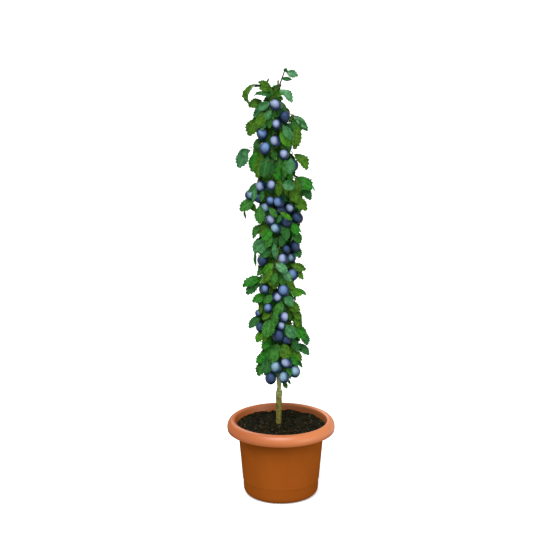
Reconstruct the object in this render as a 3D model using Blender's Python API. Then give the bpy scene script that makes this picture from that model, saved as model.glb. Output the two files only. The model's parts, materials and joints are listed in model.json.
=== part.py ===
"""A columnar plum tree in a round plastic flowerpot. Metres, +Z up.

The origin is on the pot's axis, on its flat underside. A turn is an angle about the trunk in
degrees: 0 is the front (-Y), 90 the right (+X) and -90 the left.
"""

import math
import random
from collections import namedtuple

import bmesh
import bpy
from mathutils import Vector
from mathutils.bvhtree import BVHTree

# Clearance between pieces that rest on or grow out of each other
GAP = 0.0003

# Pot, turned about the Z axis
POT_HEIGHT = 0.250
POT_RIM_RADIUS = 0.1745
POT_CREST_RADIUS = 0.156
POT_MOUTH_RADIUS = 0.148
POT_LIP_DEPTH = 0.037
POT_NECK_RADIUS = 0.1385
POT_CORNER_RADIUS = 0.1215
POT_CORNER_ROUND = 0.020
POT_WALL = 0.003
POT_FLOOR = 0.004
POT_SEGMENTS = 32
DRAIN_HOLES = 6
DRAIN_RADIUS = 0.006
DRAIN_CIRCLE_RADIUS = 0.070

# Compost
SOIL_TOP = 0.229
SOIL_FLAT_RADIUS = 0.020
SOIL_LUMP = 0.004

# Trunk: its line (height, x, y), and its girth (height over the compost, radius)
TRUNK_FOOT = SOIL_TOP + GAP
TRUNK_TIP = 1.336
TRUNK_LINE = (
    (TRUNK_FOOT, -0.0070, 0.000),
    (0.340, -0.0075, 0.001),
    (0.520, -0.0130, 0.003),
    (0.750, -0.0210, 0.000),
    (1.130, -0.0240, -0.003),
    (TRUNK_TIP, -0.0146, 0.002),
)
TRUNK_GIRTH = (
    (0.000, 0.0112),
    (0.006, 0.0100),
    (0.018, 0.0091),
    (0.045, 0.0084),
    (0.092, 0.0080),
    (0.104, 0.0092),
    (0.114, 0.0095),
    (0.124, 0.0082),
    (0.145, 0.0075),
    (TRUNK_TIP - TRUNK_FOOT, 0.0020),
)
TRUNK_SIDES = 10
TRUNK_STEP = 0.060

# The long shoot beside the trunk's tip, and the arching one on its left: (height, x, y)
TOP_SHOOT_LINE = ((1.292, 0.0, 0.0), (1.318, -0.006, -0.006), (1.338, -0.001, -0.008), (1.352, 0.005, -0.008))
ARCH_SHOOT_LINE = ((1.305, 0.0, 0.0), (1.315, -0.034, -0.004), (1.320, -0.052, -0.006))
SHOOT_RADIUS = 0.0022
SHOOT_TIP_RADIUS = 0.0014

# Crown: tiers of three masses, each a third of the way round. Every tier is turned against the one
# below. The floor between two tiers falls outwards like a shingle; a tier's foot is where that
# floor meets the trunk's middle.
TIER_HEIGHT = 0.116
TIER_DROOP = 0.85
MASSES_ROUND = 3
MASS_MARGIN = 0.0012
BODY_REACH = 0.083
Tier = namedtuple("Tier", "turn fruit_turn")
TIERS = (
    Tier(12, 12),
    Tier(-28, 8),
    Tier(17, 10),
    Tier(47, 38),
    Tier(-5, 14),
    Tier(-37, -34),
    Tier(5, -16),
    Tier(35, 14),
)
CROWN_FOOT = 0.452
TOP_TIER_HEIGHT = 0.080
CROWN_TOP = CROWN_FOOT + TIER_HEIGHT * (len(TIERS) - 1) + TOP_TIER_HEIGHT
# Where a mass's stem and twigs end: turn from the mass's middle, radius, share of the tier's height
TWIG_ENDS = (
    (2, 0.044, 0.80),
    (-34, 0.038, 0.52),
    (34, 0.038, 0.46),
)
STEM_ROOT_SHARE = 0.42
# The two tufts over the crown, at the ends of the shoots: where the stem ends, and each leaf's base and tip
TOP_LEFT_STEM = (-0.066, -0.007, 1.322)
TOP_LEFT_LEAVES = (
    ((-0.062, -0.007, 1.321), (-0.112, -0.012, 1.290)),
    ((-0.054, -0.006, 1.319), (-0.036, -0.030, 1.338)),
    ((-0.058, -0.006, 1.320), (-0.070, 0.034, 1.322)),
)
TOP_RIGHT_STEM = (0.014, -0.008, 1.370)
TOP_RIGHT_LEAVES = (
    ((0.013, -0.008, 1.368), (0.047, -0.012, 1.352)),
    ((0.007, -0.008, 1.357), (0.026, -0.026, 1.349)),
    ((0.009, -0.008, 1.361), (0.012, 0.028, 1.352)),
)
# The leaves that reach furthest, which give the crown its ragged outline: turn, height and reach of the tip
FAR_LEAVES = (
    (-90, 1.195, 0.088),
    (90, 1.200, 0.104),
    (-90, 1.085, 0.116),
    (90, 1.080, 0.108),
    (90, 0.990, 0.128),
    (-90, 0.925, 0.106),
    (90, 0.935, 0.100),
    (90, 0.745, 0.094),
    (-90, 0.690, 0.104),
    (90, 0.655, 0.098),
    (-90, 0.560, 0.092),
    (90, 0.470, 0.100),
    (90, 0.520, 0.090),
)

# Wood inside a mass
STEM_RADIUS = 0.0028
TWIG_RADIUS = 0.0023
TWIG_TIP_RADIUS = 0.0016
STALK_RADIUS = 0.0013
SUNK_RADIUS = 0.0007
STEM_COLLAR = 0.006
TWIG_SIDES = 3

# Leaves and plums
LEAF_LENGTH = 0.072
LEAF_WIDTH = 0.042
LEAF_THICKNESS = 0.0022
LEAF_STALK = 0.0012
LEAVES_A_MASS = 9
LEAF_TRIES = 2500
FAR_LEAF_TRIES = 60
LEAF_SPACING = 0.036
LEAF_LEAST_SPACING = 0.016
PLUM_RADIUS = 0.0182
PLUM_STRETCH = 1.12
PLUM_SEGMENTS = 7
PLUM_RING_ANGLES = (22, 66, 114, 158)
PLUM_TRIES = 60
PLUMS_IN_VIEW = 4
PLUMS_ELSEWHERE = 2

Mass = namedtuple("Mass", "name foot top turn half_turn reach droop")


def clear_scene():
    for old in list(bpy.data.objects):
        bpy.data.objects.remove(old, do_unlink=True)


def finish(name, colour, roughness):
    """A matt or waxy surface of one colour."""
    material = bpy.data.materials.new(name)
    material.use_nodes = True
    shader = material.node_tree.nodes["Principled BSDF"]
    shader.inputs["Base Color"].default_value = (*colour, 1.0)
    shader.inputs["Roughness"].default_value = roughness
    shader.inputs["Metallic"].default_value = 0.0
    return material


def add_object(name, mesh, material):
    piece = bpy.data.objects.new(name, mesh)
    bpy.context.scene.collection.objects.link(piece)
    mesh.materials.append(material)
    return piece


def skin(name, rings):
    """A closed mesh over rings of points, with flat ends. A ring of one point closes to it."""
    shape = bmesh.new()
    loops = [[shape.verts.new(point) for point in ring] for ring in rings]
    for low, high in zip(loops, loops[1:]):
        count = max(len(low), len(high))
        for i in range(count):
            corners = (low[i % len(low)], low[(i + 1) % len(low)], high[(i + 1) % len(high)], high[i % len(high)])
            shape.faces.new(dict.fromkeys(corners))
    for end in (loops[0], loops[-1]):
        if len(end) > 1:
            shape.faces.new(end)
    bmesh.ops.recalc_face_normals(shape, faces=shape.faces)
    mesh = bpy.data.meshes.new(name)
    shape.to_mesh(mesh)
    shape.free()
    return mesh


def shade_round(mesh, angle=35.0):
    mesh.shade_smooth()
    mesh.set_sharp_from_angle(angle=math.radians(angle))


def along(points, share):
    """The point at this share of a smooth line through the points, which it runs through."""
    place = share * (len(points) - 1)
    i = min(int(place), len(points) - 2)
    t = place - i
    a = Vector(points[max(i - 1, 0)])
    b = Vector(points[i])
    c = Vector(points[i + 1])
    d = Vector(points[min(i + 2, len(points) - 1)])
    return 0.5 * (2 * b + (c - a) * t + (2 * a - 5 * b + 4 * c - d) * t**2 + (3 * b - a - 3 * c + d) * t**3)


def between(stations, height):
    """The value at this height on straight runs between (height, value) stations."""
    for (low, first), (high, second) in zip(stations, stations[1:]):
        if height <= high:
            share = max(height - low, 0.0) / (high - low)
            return first + (second - first) * share
    return stations[-1][1]


def trunk_centre(height):
    """The middle of the trunk at this height. Past its two ends the line goes on straight up or down."""
    inside = min(max(height, TRUNK_FOOT), TRUNK_TIP)
    for i, (low, high) in enumerate(zip(TRUNK_LINE, TRUNK_LINE[1:])):
        if inside <= high[0]:
            share = (i + (inside - low[0]) / (high[0] - low[0])) / (len(TRUNK_LINE) - 1)
            place = along(TRUNK_LINE, share)
            return Vector((place[1], place[2], height))
    return Vector((TRUNK_LINE[-1][1], TRUNK_LINE[-1][2], height))


def trunk_radius(height):
    return between(TRUNK_GIRTH, height - TRUNK_FOOT)


def outward(turn):
    return Vector((math.sin(math.radians(turn)), -math.cos(math.radians(turn)), 0.0))


def place_at(turn, radius, height):
    """The point this far from the trunk's middle, at this turn about it."""
    return trunk_centre(height) + outward(turn) * radius


def turn_and_radius(point):
    offset = point - trunk_centre(point.z)
    return math.degrees(math.atan2(offset.x, -offset.y)), math.hypot(offset.x, offset.y)


def turned_by(turn, other):
    """The angle from one turn to another, between -180 and 180."""
    return (other - turn + 180.0) % 360.0 - 180.0


def circle(radius, height, segments):
    if radius == 0.0:
        return [Vector((0.0, 0.0, height))]
    angles = [math.tau * i / segments for i in range(segments)]
    return [Vector((radius * math.cos(a), radius * math.sin(a), height)) for a in angles]


def arc(middle, radii, start, stop, steps):
    """Points of (radius, height) on part of an ellipse in the pot's profile, its angles in degrees."""
    angles = [math.radians(start + (stop - start) * i / steps) for i in range(steps + 1)]
    return [(middle[0] + radii[0] * math.cos(a), middle[1] + radii[1] * math.sin(a)) for a in angles]


def inner_wall_radius(height):
    """The pot's inner radius: a straight taper, then a shoulder that opens to the mouth."""
    shoulder = POT_HEIGHT - POT_LIP_DEPTH - 0.010
    stations = (
        (POT_FLOOR, POT_CORNER_RADIUS - POT_CORNER_ROUND * 0.55),
        (POT_CORNER_ROUND, POT_CORNER_RADIUS - POT_WALL),
        (shoulder, POT_NECK_RADIUS - POT_WALL),
        (POT_HEIGHT - 0.008, POT_MOUTH_RADIUS),
    )
    return between(stations, height)


def make_pot():
    """One moulded shell: flat foot, rounded lower edge, tapered wall, and a fat lip rolled over and down."""
    neck = POT_HEIGHT - POT_LIP_DEPTH
    corner = arc(
        (POT_CORNER_RADIUS - POT_CORNER_ROUND, POT_CORNER_ROUND), (POT_CORNER_ROUND, POT_CORNER_ROUND), -90, 0, 3
    )
    lip_middle = (POT_CREST_RADIUS, POT_HEIGHT - 0.025)
    lip_out = arc(lip_middle, (POT_RIM_RADIUS - POT_CREST_RADIUS, 0.025), -28, 90, 5)
    lip_in = arc(
        lip_middle, (POT_RIM_RADIUS - POT_CREST_RADIUS - POT_WALL, 0.025 - POT_WALL), 90, -26, 3
    )
    profile = [(0.0, 0.0)]
    profile += corner
    profile += [(POT_NECK_RADIUS, neck - 0.004), (POT_MOUTH_RADIUS + POT_WALL, POT_HEIGHT - 0.009)]
    profile += lip_in
    profile += lip_out
    profile += [(POT_MOUTH_RADIUS + 0.002, POT_HEIGHT - 0.002), (POT_MOUTH_RADIUS, POT_HEIGHT - 0.008)]
    for height in (POT_HEIGHT - POT_LIP_DEPTH - 0.010, POT_CORNER_ROUND, POT_FLOOR):
        profile.append((inner_wall_radius(height), height))
    profile.append((0.0, POT_FLOOR))
    mesh = skin("pot", [circle(radius, height, POT_SEGMENTS) for radius, height in profile])
    shade_round(mesh)
    pot = add_object("pot", mesh, finish("terracotta plastic", (0.32, 0.085, 0.016), 0.55))
    cut_drain_holes(pot)


def cut_drain_holes(pot):
    drills = bpy.data.collections.new("drain drills")
    bpy.context.scene.collection.children.link(drills)
    ends = (-0.01, POT_FLOOR + 0.01)
    for i in range(DRAIN_HOLES):
        centre = outward(360.0 * (i + 0.5) / DRAIN_HOLES) * DRAIN_CIRCLE_RADIUS
        rings = [[centre + point for point in circle(DRAIN_RADIUS, height, 8)] for height in ends]
        drill = bpy.data.objects.new(f"drain_drill_{i + 1}", skin("drain drill", rings))
        drill.data.materials.append(pot.data.materials[0])
        drill.hide_render = True
        drill.display_type = "WIRE"
        drills.objects.link(drill)
    cut = pot.modifiers.new("drain holes", "BOOLEAN")
    cut.operation = "DIFFERENCE"
    cut.operand_type = "COLLECTION"
    cut.collection = drills


def make_compost():
    """Compost that fills the pot to just under its mouth, lumpy on top and flat round the trunk."""
    lumps = random.Random(11)
    heights = (POT_FLOOR + GAP, POT_CORNER_ROUND, POT_HEIGHT - POT_LIP_DEPTH - 0.010, SOIL_TOP - SOIL_LUMP * 1.5)
    rings = [circle(0.0, heights[0], POT_SEGMENTS)]
    rings += [circle(inner_wall_radius(height) - GAP * 1.5, height, POT_SEGMENTS) for height in heights]
    rim = inner_wall_radius(heights[-1]) - GAP * 1.5
    for share in (0.97, 0.74, 0.50, 0.28):
        ring = circle(rim * share, SOIL_TOP, POT_SEGMENTS)
        for point in ring:
            point.z += lumps.uniform(-SOIL_LUMP, SOIL_LUMP) * (1.0 if share > 0.3 else 0.3)
        rings.append(ring)
    foot = trunk_centre(TRUNK_FOOT)
    flat = [Vector((foot.x, foot.y, 0.0)) + point for point in circle(SOIL_FLAT_RADIUS, SOIL_TOP, POT_SEGMENTS)]
    rings.append(flat)
    mesh = skin("compost", rings)
    add_object("compost", mesh, finish("dark compost", (0.018, 0.014, 0.008), 0.95))


def limb_rings(points, radii, sides):
    """Rings of a round limb along a line of points, each square to the line and not twisted on the one before."""
    rings = []
    side = None
    for i, point in enumerate(points):
        tangent = (points[min(i + 1, len(points) - 1)] - points[max(i - 1, 0)]).normalized()
        if side is None:
            side = tangent.cross(Vector((0.0, 0.0, 1.0)) if abs(tangent.z) < 0.9 else Vector((1.0, 0.0, 0.0)))
        side = (side - tangent * side.dot(tangent)).normalized()
        other = tangent.cross(side)
        angles = [math.tau * k / sides for k in range(sides)]
        rings.append([point + (side * math.cos(a) + other * math.sin(a)) * radii[i] for a in angles])
    return rings


def make_trunk(bark):
    """The trunk, whole from a flat cut on the compost to its tip, with its root flare and the graft's knuckle."""
    heights = [TRUNK_FOOT + over for over, _ in TRUNK_GIRTH[:-1]]
    steps = round((TRUNK_TIP - heights[-1]) / TRUNK_STEP)
    heights += [heights[-1] + (TRUNK_TIP - heights[-1]) * (i + 1) / steps for i in range(steps)]
    rings = []
    for height in heights:
        centre = trunk_centre(height)
        rings.append([centre + point for point in circle(trunk_radius(height), 0.0, TRUNK_SIDES)])
    mesh = skin("trunk", rings)
    shade_round(mesh, 50.0)
    return add_object("trunk", mesh, bark)


def mesh_tree(mesh, margin=0.0):
    """The mesh's surface, for finding what meets it or comes nearer than the margin."""
    corners = [vertex.co for vertex in mesh.vertices]
    return BVHTree.FromPolygons(corners, [list(face.vertices) for face in mesh.polygons], epsilon=margin)


def trunk_seat(trunk_tree, turn, height):
    """Where a limb starts on the trunk at this turn, a gap clear of the bark, and the way it sets out."""
    start = place_at(turn, 0.05, height)
    hit, normal, _, _ = trunk_tree.ray_cast(start, -outward(turn))
    return hit + normal * GAP, normal


def make_shoot(name, line, turn, trunk_tree, bark):
    """A slender bough from the trunk. Its line gives (height, x, y) past its seat on the trunk."""
    seat, way = trunk_seat(trunk_tree, turn, line[0][0])
    route = [seat, seat + way * STEM_COLLAR]
    route += [Vector((x, y, height)) for height, x, y in line[1:]]
    points = [seat] + [along(route[1:], i / 6) for i in range(7)]
    radii = [SHOOT_RADIUS + (SHOOT_TIP_RADIUS - SHOOT_RADIUS) * i / 7 for i in range(8)]
    mesh = skin(name, limb_rings(points, radii, 5))
    shade_round(mesh, 50.0)
    add_object(name, mesh, bark)
    return points[-1], (points[-1] - points[-2]).normalized(), mesh_tree(mesh, 0.0015)


def within(mass, point, margin):
    """Whether a point lies in the mass's own space, this far from its limits."""
    turn, radius = turn_and_radius(point)
    off = abs(turned_by(mass.turn, turn))
    if off >= mass.half_turn:
        return False
    if off > mass.half_turn - 90.0 and radius * math.sin(math.radians(mass.half_turn - off)) < margin:
        return False
    floor = mass.foot - mass.droop * radius
    ceiling = mass.top - mass.droop * radius
    return floor + margin < point.z < ceiling - margin and radius > trunk_radius(point.z) + margin


def tier_place(mass, turn, radius, share):
    """The point at this turn and radius, this share of the way from the mass's floor to its ceiling."""
    height = mass.foot - mass.droop * radius + (mass.top - mass.foot) * share
    return place_at(turn, radius, height)


def twig_mesh(points, first_radius, last_radius, sunk=True):
    """A three-sided twig. Where its first end is sunk in other wood it starts thinner than that wood."""
    steps = len(points) - 1
    radii = [first_radius + (last_radius - first_radius) * i / steps for i in range(steps + 1)]
    if sunk:
        radii[0] = SUNK_RADIUS
    return skin("twig", limb_rings(points, radii, TWIG_SIDES))


def leaf_points(knot, base, way, facing, length, width, fold, curl):
    """The corners of a leaf: three at each end of its stalk, its outline, and the middle of its two faces."""
    across = way.cross(facing).normalized()
    up = across.cross(way).normalized()
    run = (base - knot).normalized()
    turning = (run + way).normalized()

    def corner(u, v, w=0.0):
        rise = fold * abs(v) * width - curl * length * u**2 + w
        return base + way * (u * length) + across * (v * width) + up * rise

    def squared(side, direction):
        return (side - direction * side.dot(direction)).normalized()

    def stalk_ring(point, direction, side, size):
        keel = direction.cross(side)
        return [point - side * size, point + side * size, point + keel * size * 1.3]

    neck_side = squared(across, turning)
    outline = ((0.34, 0.44), (0.70, 0.44), (1.0, 0.0), (0.70, -0.44), (0.34, -0.44))
    return {
        "root": stalk_ring(knot, run, squared(neck_side, run), SUNK_RADIUS),
        "neck": stalk_ring(base, turning, neck_side, LEAF_STALK),
        "rim": [corner(u, v) for u, v in outline],
        "upper": corner(0.46, 0.0, LEAF_THICKNESS * 0.5),
        "lower": corner(0.46, 0.0, -LEAF_THICKNESS * 0.5),
    }


def leaf_mesh(corners):
    shape = bmesh.new()
    root = [shape.verts.new(point) for point in corners["root"]]
    neck = [shape.verts.new(point) for point in corners["neck"]]
    rim = [shape.verts.new(point) for point in corners["rim"]]
    upper = shape.verts.new(corners["upper"])
    lower = shape.verts.new(corners["lower"])
    shape.faces.new(root)
    for i in range(3):
        shape.faces.new((root[i], root[(i + 1) % 3], neck[(i + 1) % 3], neck[i]))
    edge = [neck[1], *rim, neck[0]]
    for a, b in zip(edge, edge[1:]):
        shape.faces.new((a, b, upper))
        shape.faces.new((b, a, lower))
    shape.faces.new((neck[0], neck[1], upper))
    shape.faces.new((neck[1], neck[2], lower))
    shape.faces.new((neck[2], neck[0], lower))
    bmesh.ops.recalc_face_normals(shape, faces=shape.faces)
    mesh = bpy.data.meshes.new("leaf")
    shape.to_mesh(mesh)
    shape.free()
    return mesh


def plum_mesh(centre, axis):
    """A plum a little longer than it is wide, flat at its two ends, its long axis leaning with its stalk."""
    lean = Vector((0.0, 0.0, 1.0)).rotation_difference(axis)
    rings = []
    for angle in PLUM_RING_ANGLES:
        height = -PLUM_RADIUS * PLUM_STRETCH * math.cos(math.radians(angle))
        ring = circle(PLUM_RADIUS * math.sin(math.radians(angle)), height, PLUM_SEGMENTS)
        rings.append([centre + lean @ point for point in ring])
    return skin("plum", rings)


class Spray:
    """What grows in one mass: its stem, twigs, plums and leaves, and what each must keep clear of."""

    def __init__(self, mass, seed, obstacles):
        self.mass = mass
        self.chance = random.Random(seed)
        self.meshes = []
        self.obstacles = obstacles
        self.surfaces = list(obstacles)
        self.wood = []
        self.plums = []

    def add(self, mesh, material):
        mesh.materials.append(material)
        self.meshes.append(mesh)
        self.surfaces.append(mesh_tree(mesh))

    def crosses(self, surface):
        return any(surface.overlap(other) for other in self.surfaces)

    def meets_obstacle(self, mesh):
        surface = mesh_tree(mesh)
        return any(surface.overlap(other) for other in self.obstacles)

    def add_twig(self, mesh, points, material):
        self.add(mesh, material)
        for a, b in zip(points[1:], points[2:]):
            self.wood += [a, a.lerp(b, 0.5)]
        self.wood.append(points[-1].lerp(points[-2], 0.1))

    def nearest_wood(self, point, above=0.0):
        """The point on the wood so far that a new twig would best leave from."""
        return min(self.wood, key=lambda knot: (knot - point).length + 2.0 * max(point.z + above - knot.z, 0.0))

    def clear_of_plums(self, point, clearance):
        offsets = [point - plum for plum in self.plums]
        return all(Vector((o.x, o.y, o.z / PLUM_STRETCH)).length > PLUM_RADIUS + clearance for o in offsets)


def bent(start, middle, stop, steps):
    """Points of a smooth bend from start to stop that is drawn towards middle."""
    shares = [i / steps for i in range(steps + 1)]
    return [start * (1 - t) ** 2 + middle * (2 * t * (1 - t)) + stop * t**2 for t in shares]


def grow_stem(spray, seat, way, stop, bark):
    collar = seat + way * STEM_COLLAR
    lifted = Vector((stop.x, stop.y, 0.0)) * 0.5 + Vector((collar.x, collar.y, 0.0)) * 0.5
    middle = Vector((lifted.x, lifted.y, collar.z + (stop.z - collar.z) * 0.35))
    points = [seat] + bent(collar, middle, stop, 3)
    spray.add_twig(twig_mesh(points, STEM_RADIUS, TWIG_RADIUS, sunk=False), points, bark)


def grow_twig(spray, stop, bark):
    """A side twig from the nearest wood to its tip. It starts sunk in that wood."""
    start = spray.nearest_wood(stop, 0.010)
    middle = start.lerp(stop, 0.5) + Vector((0.0, 0.0, 0.006))
    points = bent(start, middle, stop, 2)
    mesh = twig_mesh(points, TWIG_RADIUS, TWIG_TIP_RADIUS)
    if not all(within(spray.mass, point, MASS_MARGIN + TWIG_RADIUS) for point in points[1:]):
        return False
    if spray.meets_obstacle(mesh):
        return False
    spray.add_twig(mesh, points, bark)
    return True


def grow_plum(spray, turn, spread, shares, materials):
    """A plum on its stalk, beside the ones before it. It is left out where there is no room."""
    mass = spray.mass
    chance = spray.chance
    for _ in range(PLUM_TRIES):
        radius = chance.uniform(0.036, 0.054)
        centre = tier_place(mass, turn + chance.uniform(-spread, spread), radius, chance.uniform(*shares))
        if not within(mass, centre, PLUM_RADIUS * PLUM_STRETCH + MASS_MARGIN):
            continue
        if any((centre - plum).length < PLUM_RADIUS * 1.9 for plum in spray.plums):
            continue
        knot = spray.nearest_wood(centre, PLUM_RADIUS * 1.4)
        lean = (knot - centre).normalized()
        if lean.z < 0.1 or (knot - centre).length < PLUM_RADIUS * 1.5:
            continue
        axis = (lean + Vector((0.0, 0.0, 1.5))).normalized()
        crown = centre + axis * (PLUM_RADIUS * PLUM_STRETCH - 0.004)
        middle = crown + axis * 0.010
        stalk = bent(knot, middle, crown, 2)
        if not within(mass, stalk[1], MASS_MARGIN + STALK_RADIUS):
            continue
        stalk_mesh = twig_mesh(stalk, STALK_RADIUS, STALK_RADIUS)
        fruit_mesh = plum_mesh(centre, axis)
        if spray.meets_obstacle(stalk_mesh) or spray.meets_obstacle(fruit_mesh):
            continue
        spray.add(stalk_mesh, materials["bark"])
        spray.add(fruit_mesh, materials["plum"])
        spray.plums.append(centre)
        return True
    return False


def blade_tree(corners):
    """The leaf's upper face past its stalk, for finding what it would cut through."""
    neck = [corners["neck"][0].lerp(corners["rim"][-1], 0.3), corners["neck"][1].lerp(corners["rim"][0], 0.3)]
    rim = [*neck, *corners["rim"]]
    fan = [(i, (i + 1) % len(rim), len(rim)) for i in range(len(rim))]
    return BVHTree.FromPolygons([*rim, corners["upper"]], fan, epsilon=LEAF_THICKNESS * 0.3)


def leaf_fits(spray, corners, reach):
    """Whether a leaf keeps to its mass, to its reach, and out of the plums."""
    run = (corners["neck"][2] - corners["root"][2]).normalized()
    way = (corners["rim"][2] - corners["neck"][2]).normalized()
    if run.dot(way) < 0.0:
        return False
    points = [corners["neck"][1], *corners["rim"], corners["neck"][0], corners["upper"], corners["lower"]]
    points += [a.lerp(b, 0.5) for a, b in zip(points, points[1:])]
    points += [a.lerp(b, 0.5) for a, b in zip(corners["root"], corners["neck"])]
    for point in points:
        if not within(spray.mass, point, MASS_MARGIN) or turn_and_radius(point)[1] > reach:
            return False
        if not spray.clear_of_plums(point, 0.001):
            return False
    return not spray.crosses(blade_tree(corners))


def grow_leaves(spray, count, materials):
    """Leaves spread evenly over the mass, their blades falling outwards, each on a stalk from the nearest wood."""
    mass = spray.mass
    chance = spray.chance
    up = Vector((0.0, 0.0, 1.0))
    middles = []
    for attempt in range(LEAF_TRIES):
        if len(middles) == count:
            return
        loose = attempt / LEAF_TRIES
        aside = chance.uniform(-mass.half_turn, mass.half_turn)
        base = tier_place(mass, mass.turn + aside, chance.uniform(0.026, 0.070), chance.uniform(0.05, 0.98))
        away = outward(turn_and_radius(base)[0])
        side = up.cross(away)
        angle = math.radians(-90 + chance.uniform(-75, 75))
        spread = side * math.cos(angle) + up * math.sin(angle)
        way = (away * chance.uniform(0.1, 0.7) + spread).normalized()
        length = LEAF_LENGTH * (chance.uniform(0.9, 1.1) - 0.35 * loose)
        middle = base + way * length * 0.5
        spacing = LEAF_SPACING + (LEAF_LEAST_SPACING - LEAF_SPACING) * loose
        if any((middle - other).length < spacing for other in middles):
            continue
        facing = (away + up * 0.5 + side * chance.uniform(-0.4, 0.4)).normalized()
        width = LEAF_WIDTH * length / LEAF_LENGTH
        knot = spray.nearest_wood(base)
        corners = leaf_points(knot, base, way, facing, length, width, chance.uniform(0.1, 0.3), chance.uniform(0.02, 0.12))
        if leaf_fits(spray, corners, mass.reach):
            blade = leaf_mesh(corners)
            if not spray.meets_obstacle(blade):
                spray.add(blade, materials["leaf"])
                middles.append(middle)


def grow_far_leaf(spray, turn, height, reach, materials):
    """The leaf that reaches furthest on its side, out to a given height and reach."""
    chance = spray.chance
    away = outward(turn)
    for attempt in range(FAR_LEAF_TRIES):
        loose = attempt / FAR_LEAF_TRIES
        tip = place_at(turn + chance.uniform(-14, 14) * loose, reach, height + chance.uniform(-0.014, 0.014) * loose)
        length = LEAF_LENGTH * (0.95 - 0.25 * loose)
        way = (away + Vector((0.0, 0.0, -chance.uniform(0.4, 1.2))) + away.cross(Vector((0, 0, 1))) * chance.uniform(-0.3, 0.3)).normalized()
        base = tip - way * length
        facing = (Vector((0.0, 0.0, 1.0)) + away * 0.3 + Vector((0.0, chance.uniform(-0.9, 0.0), 0.0))).normalized()
        knot = spray.nearest_wood(base)
        corners = leaf_points(knot, base, way, facing, length, length * 0.60, 0.2, 0.0)
        if leaf_fits(spray, corners, 1.0):
            spray.add(leaf_mesh(corners), materials["leaf"])
            return True
    return False


def fuse(name, meshes):
    """One closed piece out of overlapping ones. Scraps that touch nothing are dropped and sealed hollows filled."""
    base = bpy.data.objects.new(name, meshes[0])
    bpy.context.scene.collection.objects.link(base)
    others = bpy.data.collections.new(name + " pieces")
    bpy.context.scene.collection.children.link(others)
    for i, mesh in enumerate(meshes[1:]):
        others.objects.link(bpy.data.objects.new(f"{name} piece {i + 1}", mesh))
    join = base.modifiers.new("join", "BOOLEAN")
    join.operation = "UNION"
    join.operand_type = "COLLECTION"
    join.collection = others
    join.material_mode = "TRANSFER"
    graph = bpy.context.evaluated_depsgraph_get()
    joined = bpy.data.meshes.new_from_object(base.evaluated_get(graph))
    base.modifiers.clear()
    base.data = joined
    for piece in list(others.objects):
        bpy.data.objects.remove(piece, do_unlink=True)
    bpy.data.collections.remove(others)
    keep_largest(joined)
    return base


def keep_largest(mesh):
    shape = bmesh.new()
    shape.from_mesh(mesh)
    left = set(shape.verts)
    islands = []
    while left:
        island = set()
        front = [left.pop()]
        while front:
            vertex = front.pop()
            island.add(vertex)
            near = {edge.other_vert(vertex) for edge in vertex.link_edges} & left
            left -= near
            front += near
        islands.append(island)
    islands.sort(key=len)
    for island in islands[:-1]:
        bmesh.ops.delete(shape, geom=list(island), context="VERTS")
    bmesh.ops.triangulate(shape, faces=shape.faces)
    shape.to_mesh(mesh)
    shape.free()


def grow_mass(spray, seat, way, tips, plums, materials):
    """Fills one mass: a stem to the first tip, a twig to each other tip, then its plums and its leaves."""
    grow_stem(spray, seat, way, tips[0], materials["bark"])
    for tip in tips[1:]:
        grow_twig(spray, tip, materials["bark"])
    for turn, spread, shares in plums:
        grow_plum(spray, turn, spread, shares, materials)
    for turn, height, reach in FAR_LEAVES:
        if within(spray.mass, place_at(turn, reach, height), MASS_MARGIN):
            grow_far_leaf(spray, turn, height, reach, materials)
    grow_leaves(spray, LEAVES_A_MASS, materials)


def make_tuft(name, side, end, way, stem_end, leaves, materials):
    """A tuft over the crown, on the end of a shoot."""
    mass = Mass(name, CROWN_TOP, CROWN_TOP + 0.2, side, 90.0, 0.12, TIER_DROOP)
    spray = Spray(mass, seed=1, obstacles=[])
    seat = end + way * GAP
    points = [seat, seat + way * STEM_COLLAR * 0.5, Vector(stem_end)]
    spray.add_twig(twig_mesh(points, SHOOT_TIP_RADIUS, TWIG_TIP_RADIUS, sunk=False), points, materials["bark"])
    for base, tip in leaves:
        base = Vector(base)
        tip = Vector(tip)
        way = (tip - base).normalized()
        facing = Vector((0.0, -0.6, 1.0)).normalized()
        length = (tip - base).length
        width = min(length * 0.62, LEAF_WIDTH)
        start = base + way * 0.004
        corners = leaf_points(spray.nearest_wood(base), start, way, facing, length - 0.004, width, 0.25, 0.05)
        spray.add(leaf_mesh(corners), materials["leaf"])
    fuse(name, spray.meshes)


def make_tier(number, tier, trunk_tree, shoot_trees, materials):
    foot = CROWN_FOOT + TIER_HEIGHT * (number - 1)
    height = TIER_HEIGHT if number < len(TIERS) else TOP_TIER_HEIGHT
    for i in range(MASSES_ROUND):
        turn = turned_by(0.0, tier.turn + 360.0 / MASSES_ROUND * i)
        name = f"foliage_{number}{'abc'[i]}"
        half_turn = 180.0 / MASSES_ROUND
        mass = Mass(name, foot, foot + height, turn, half_turn, BODY_REACH, TIER_DROOP)
        spray = Spray(mass, seed=number * 10 + i, obstacles=shoot_trees)
        seat, way = trunk_seat(trunk_tree, turn, foot + height * STEM_ROOT_SHARE)
        tips = [tier_place(mass, turn + aside, radius, share) for aside, radius, share in TWIG_ENDS]
        in_view = abs(turned_by(turn, tier.fruit_turn)) < half_turn
        cluster_turn = tier.fruit_turn if in_view else turn
        count = PLUMS_IN_VIEW if in_view else PLUMS_ELSEWHERE
        plums = [(cluster_turn, 30 if in_view else 34, (0.22, 0.55))] * count
        grow_mass(spray, seat, way, tips, plums, materials)
        fuse(name, spray.meshes)


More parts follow.
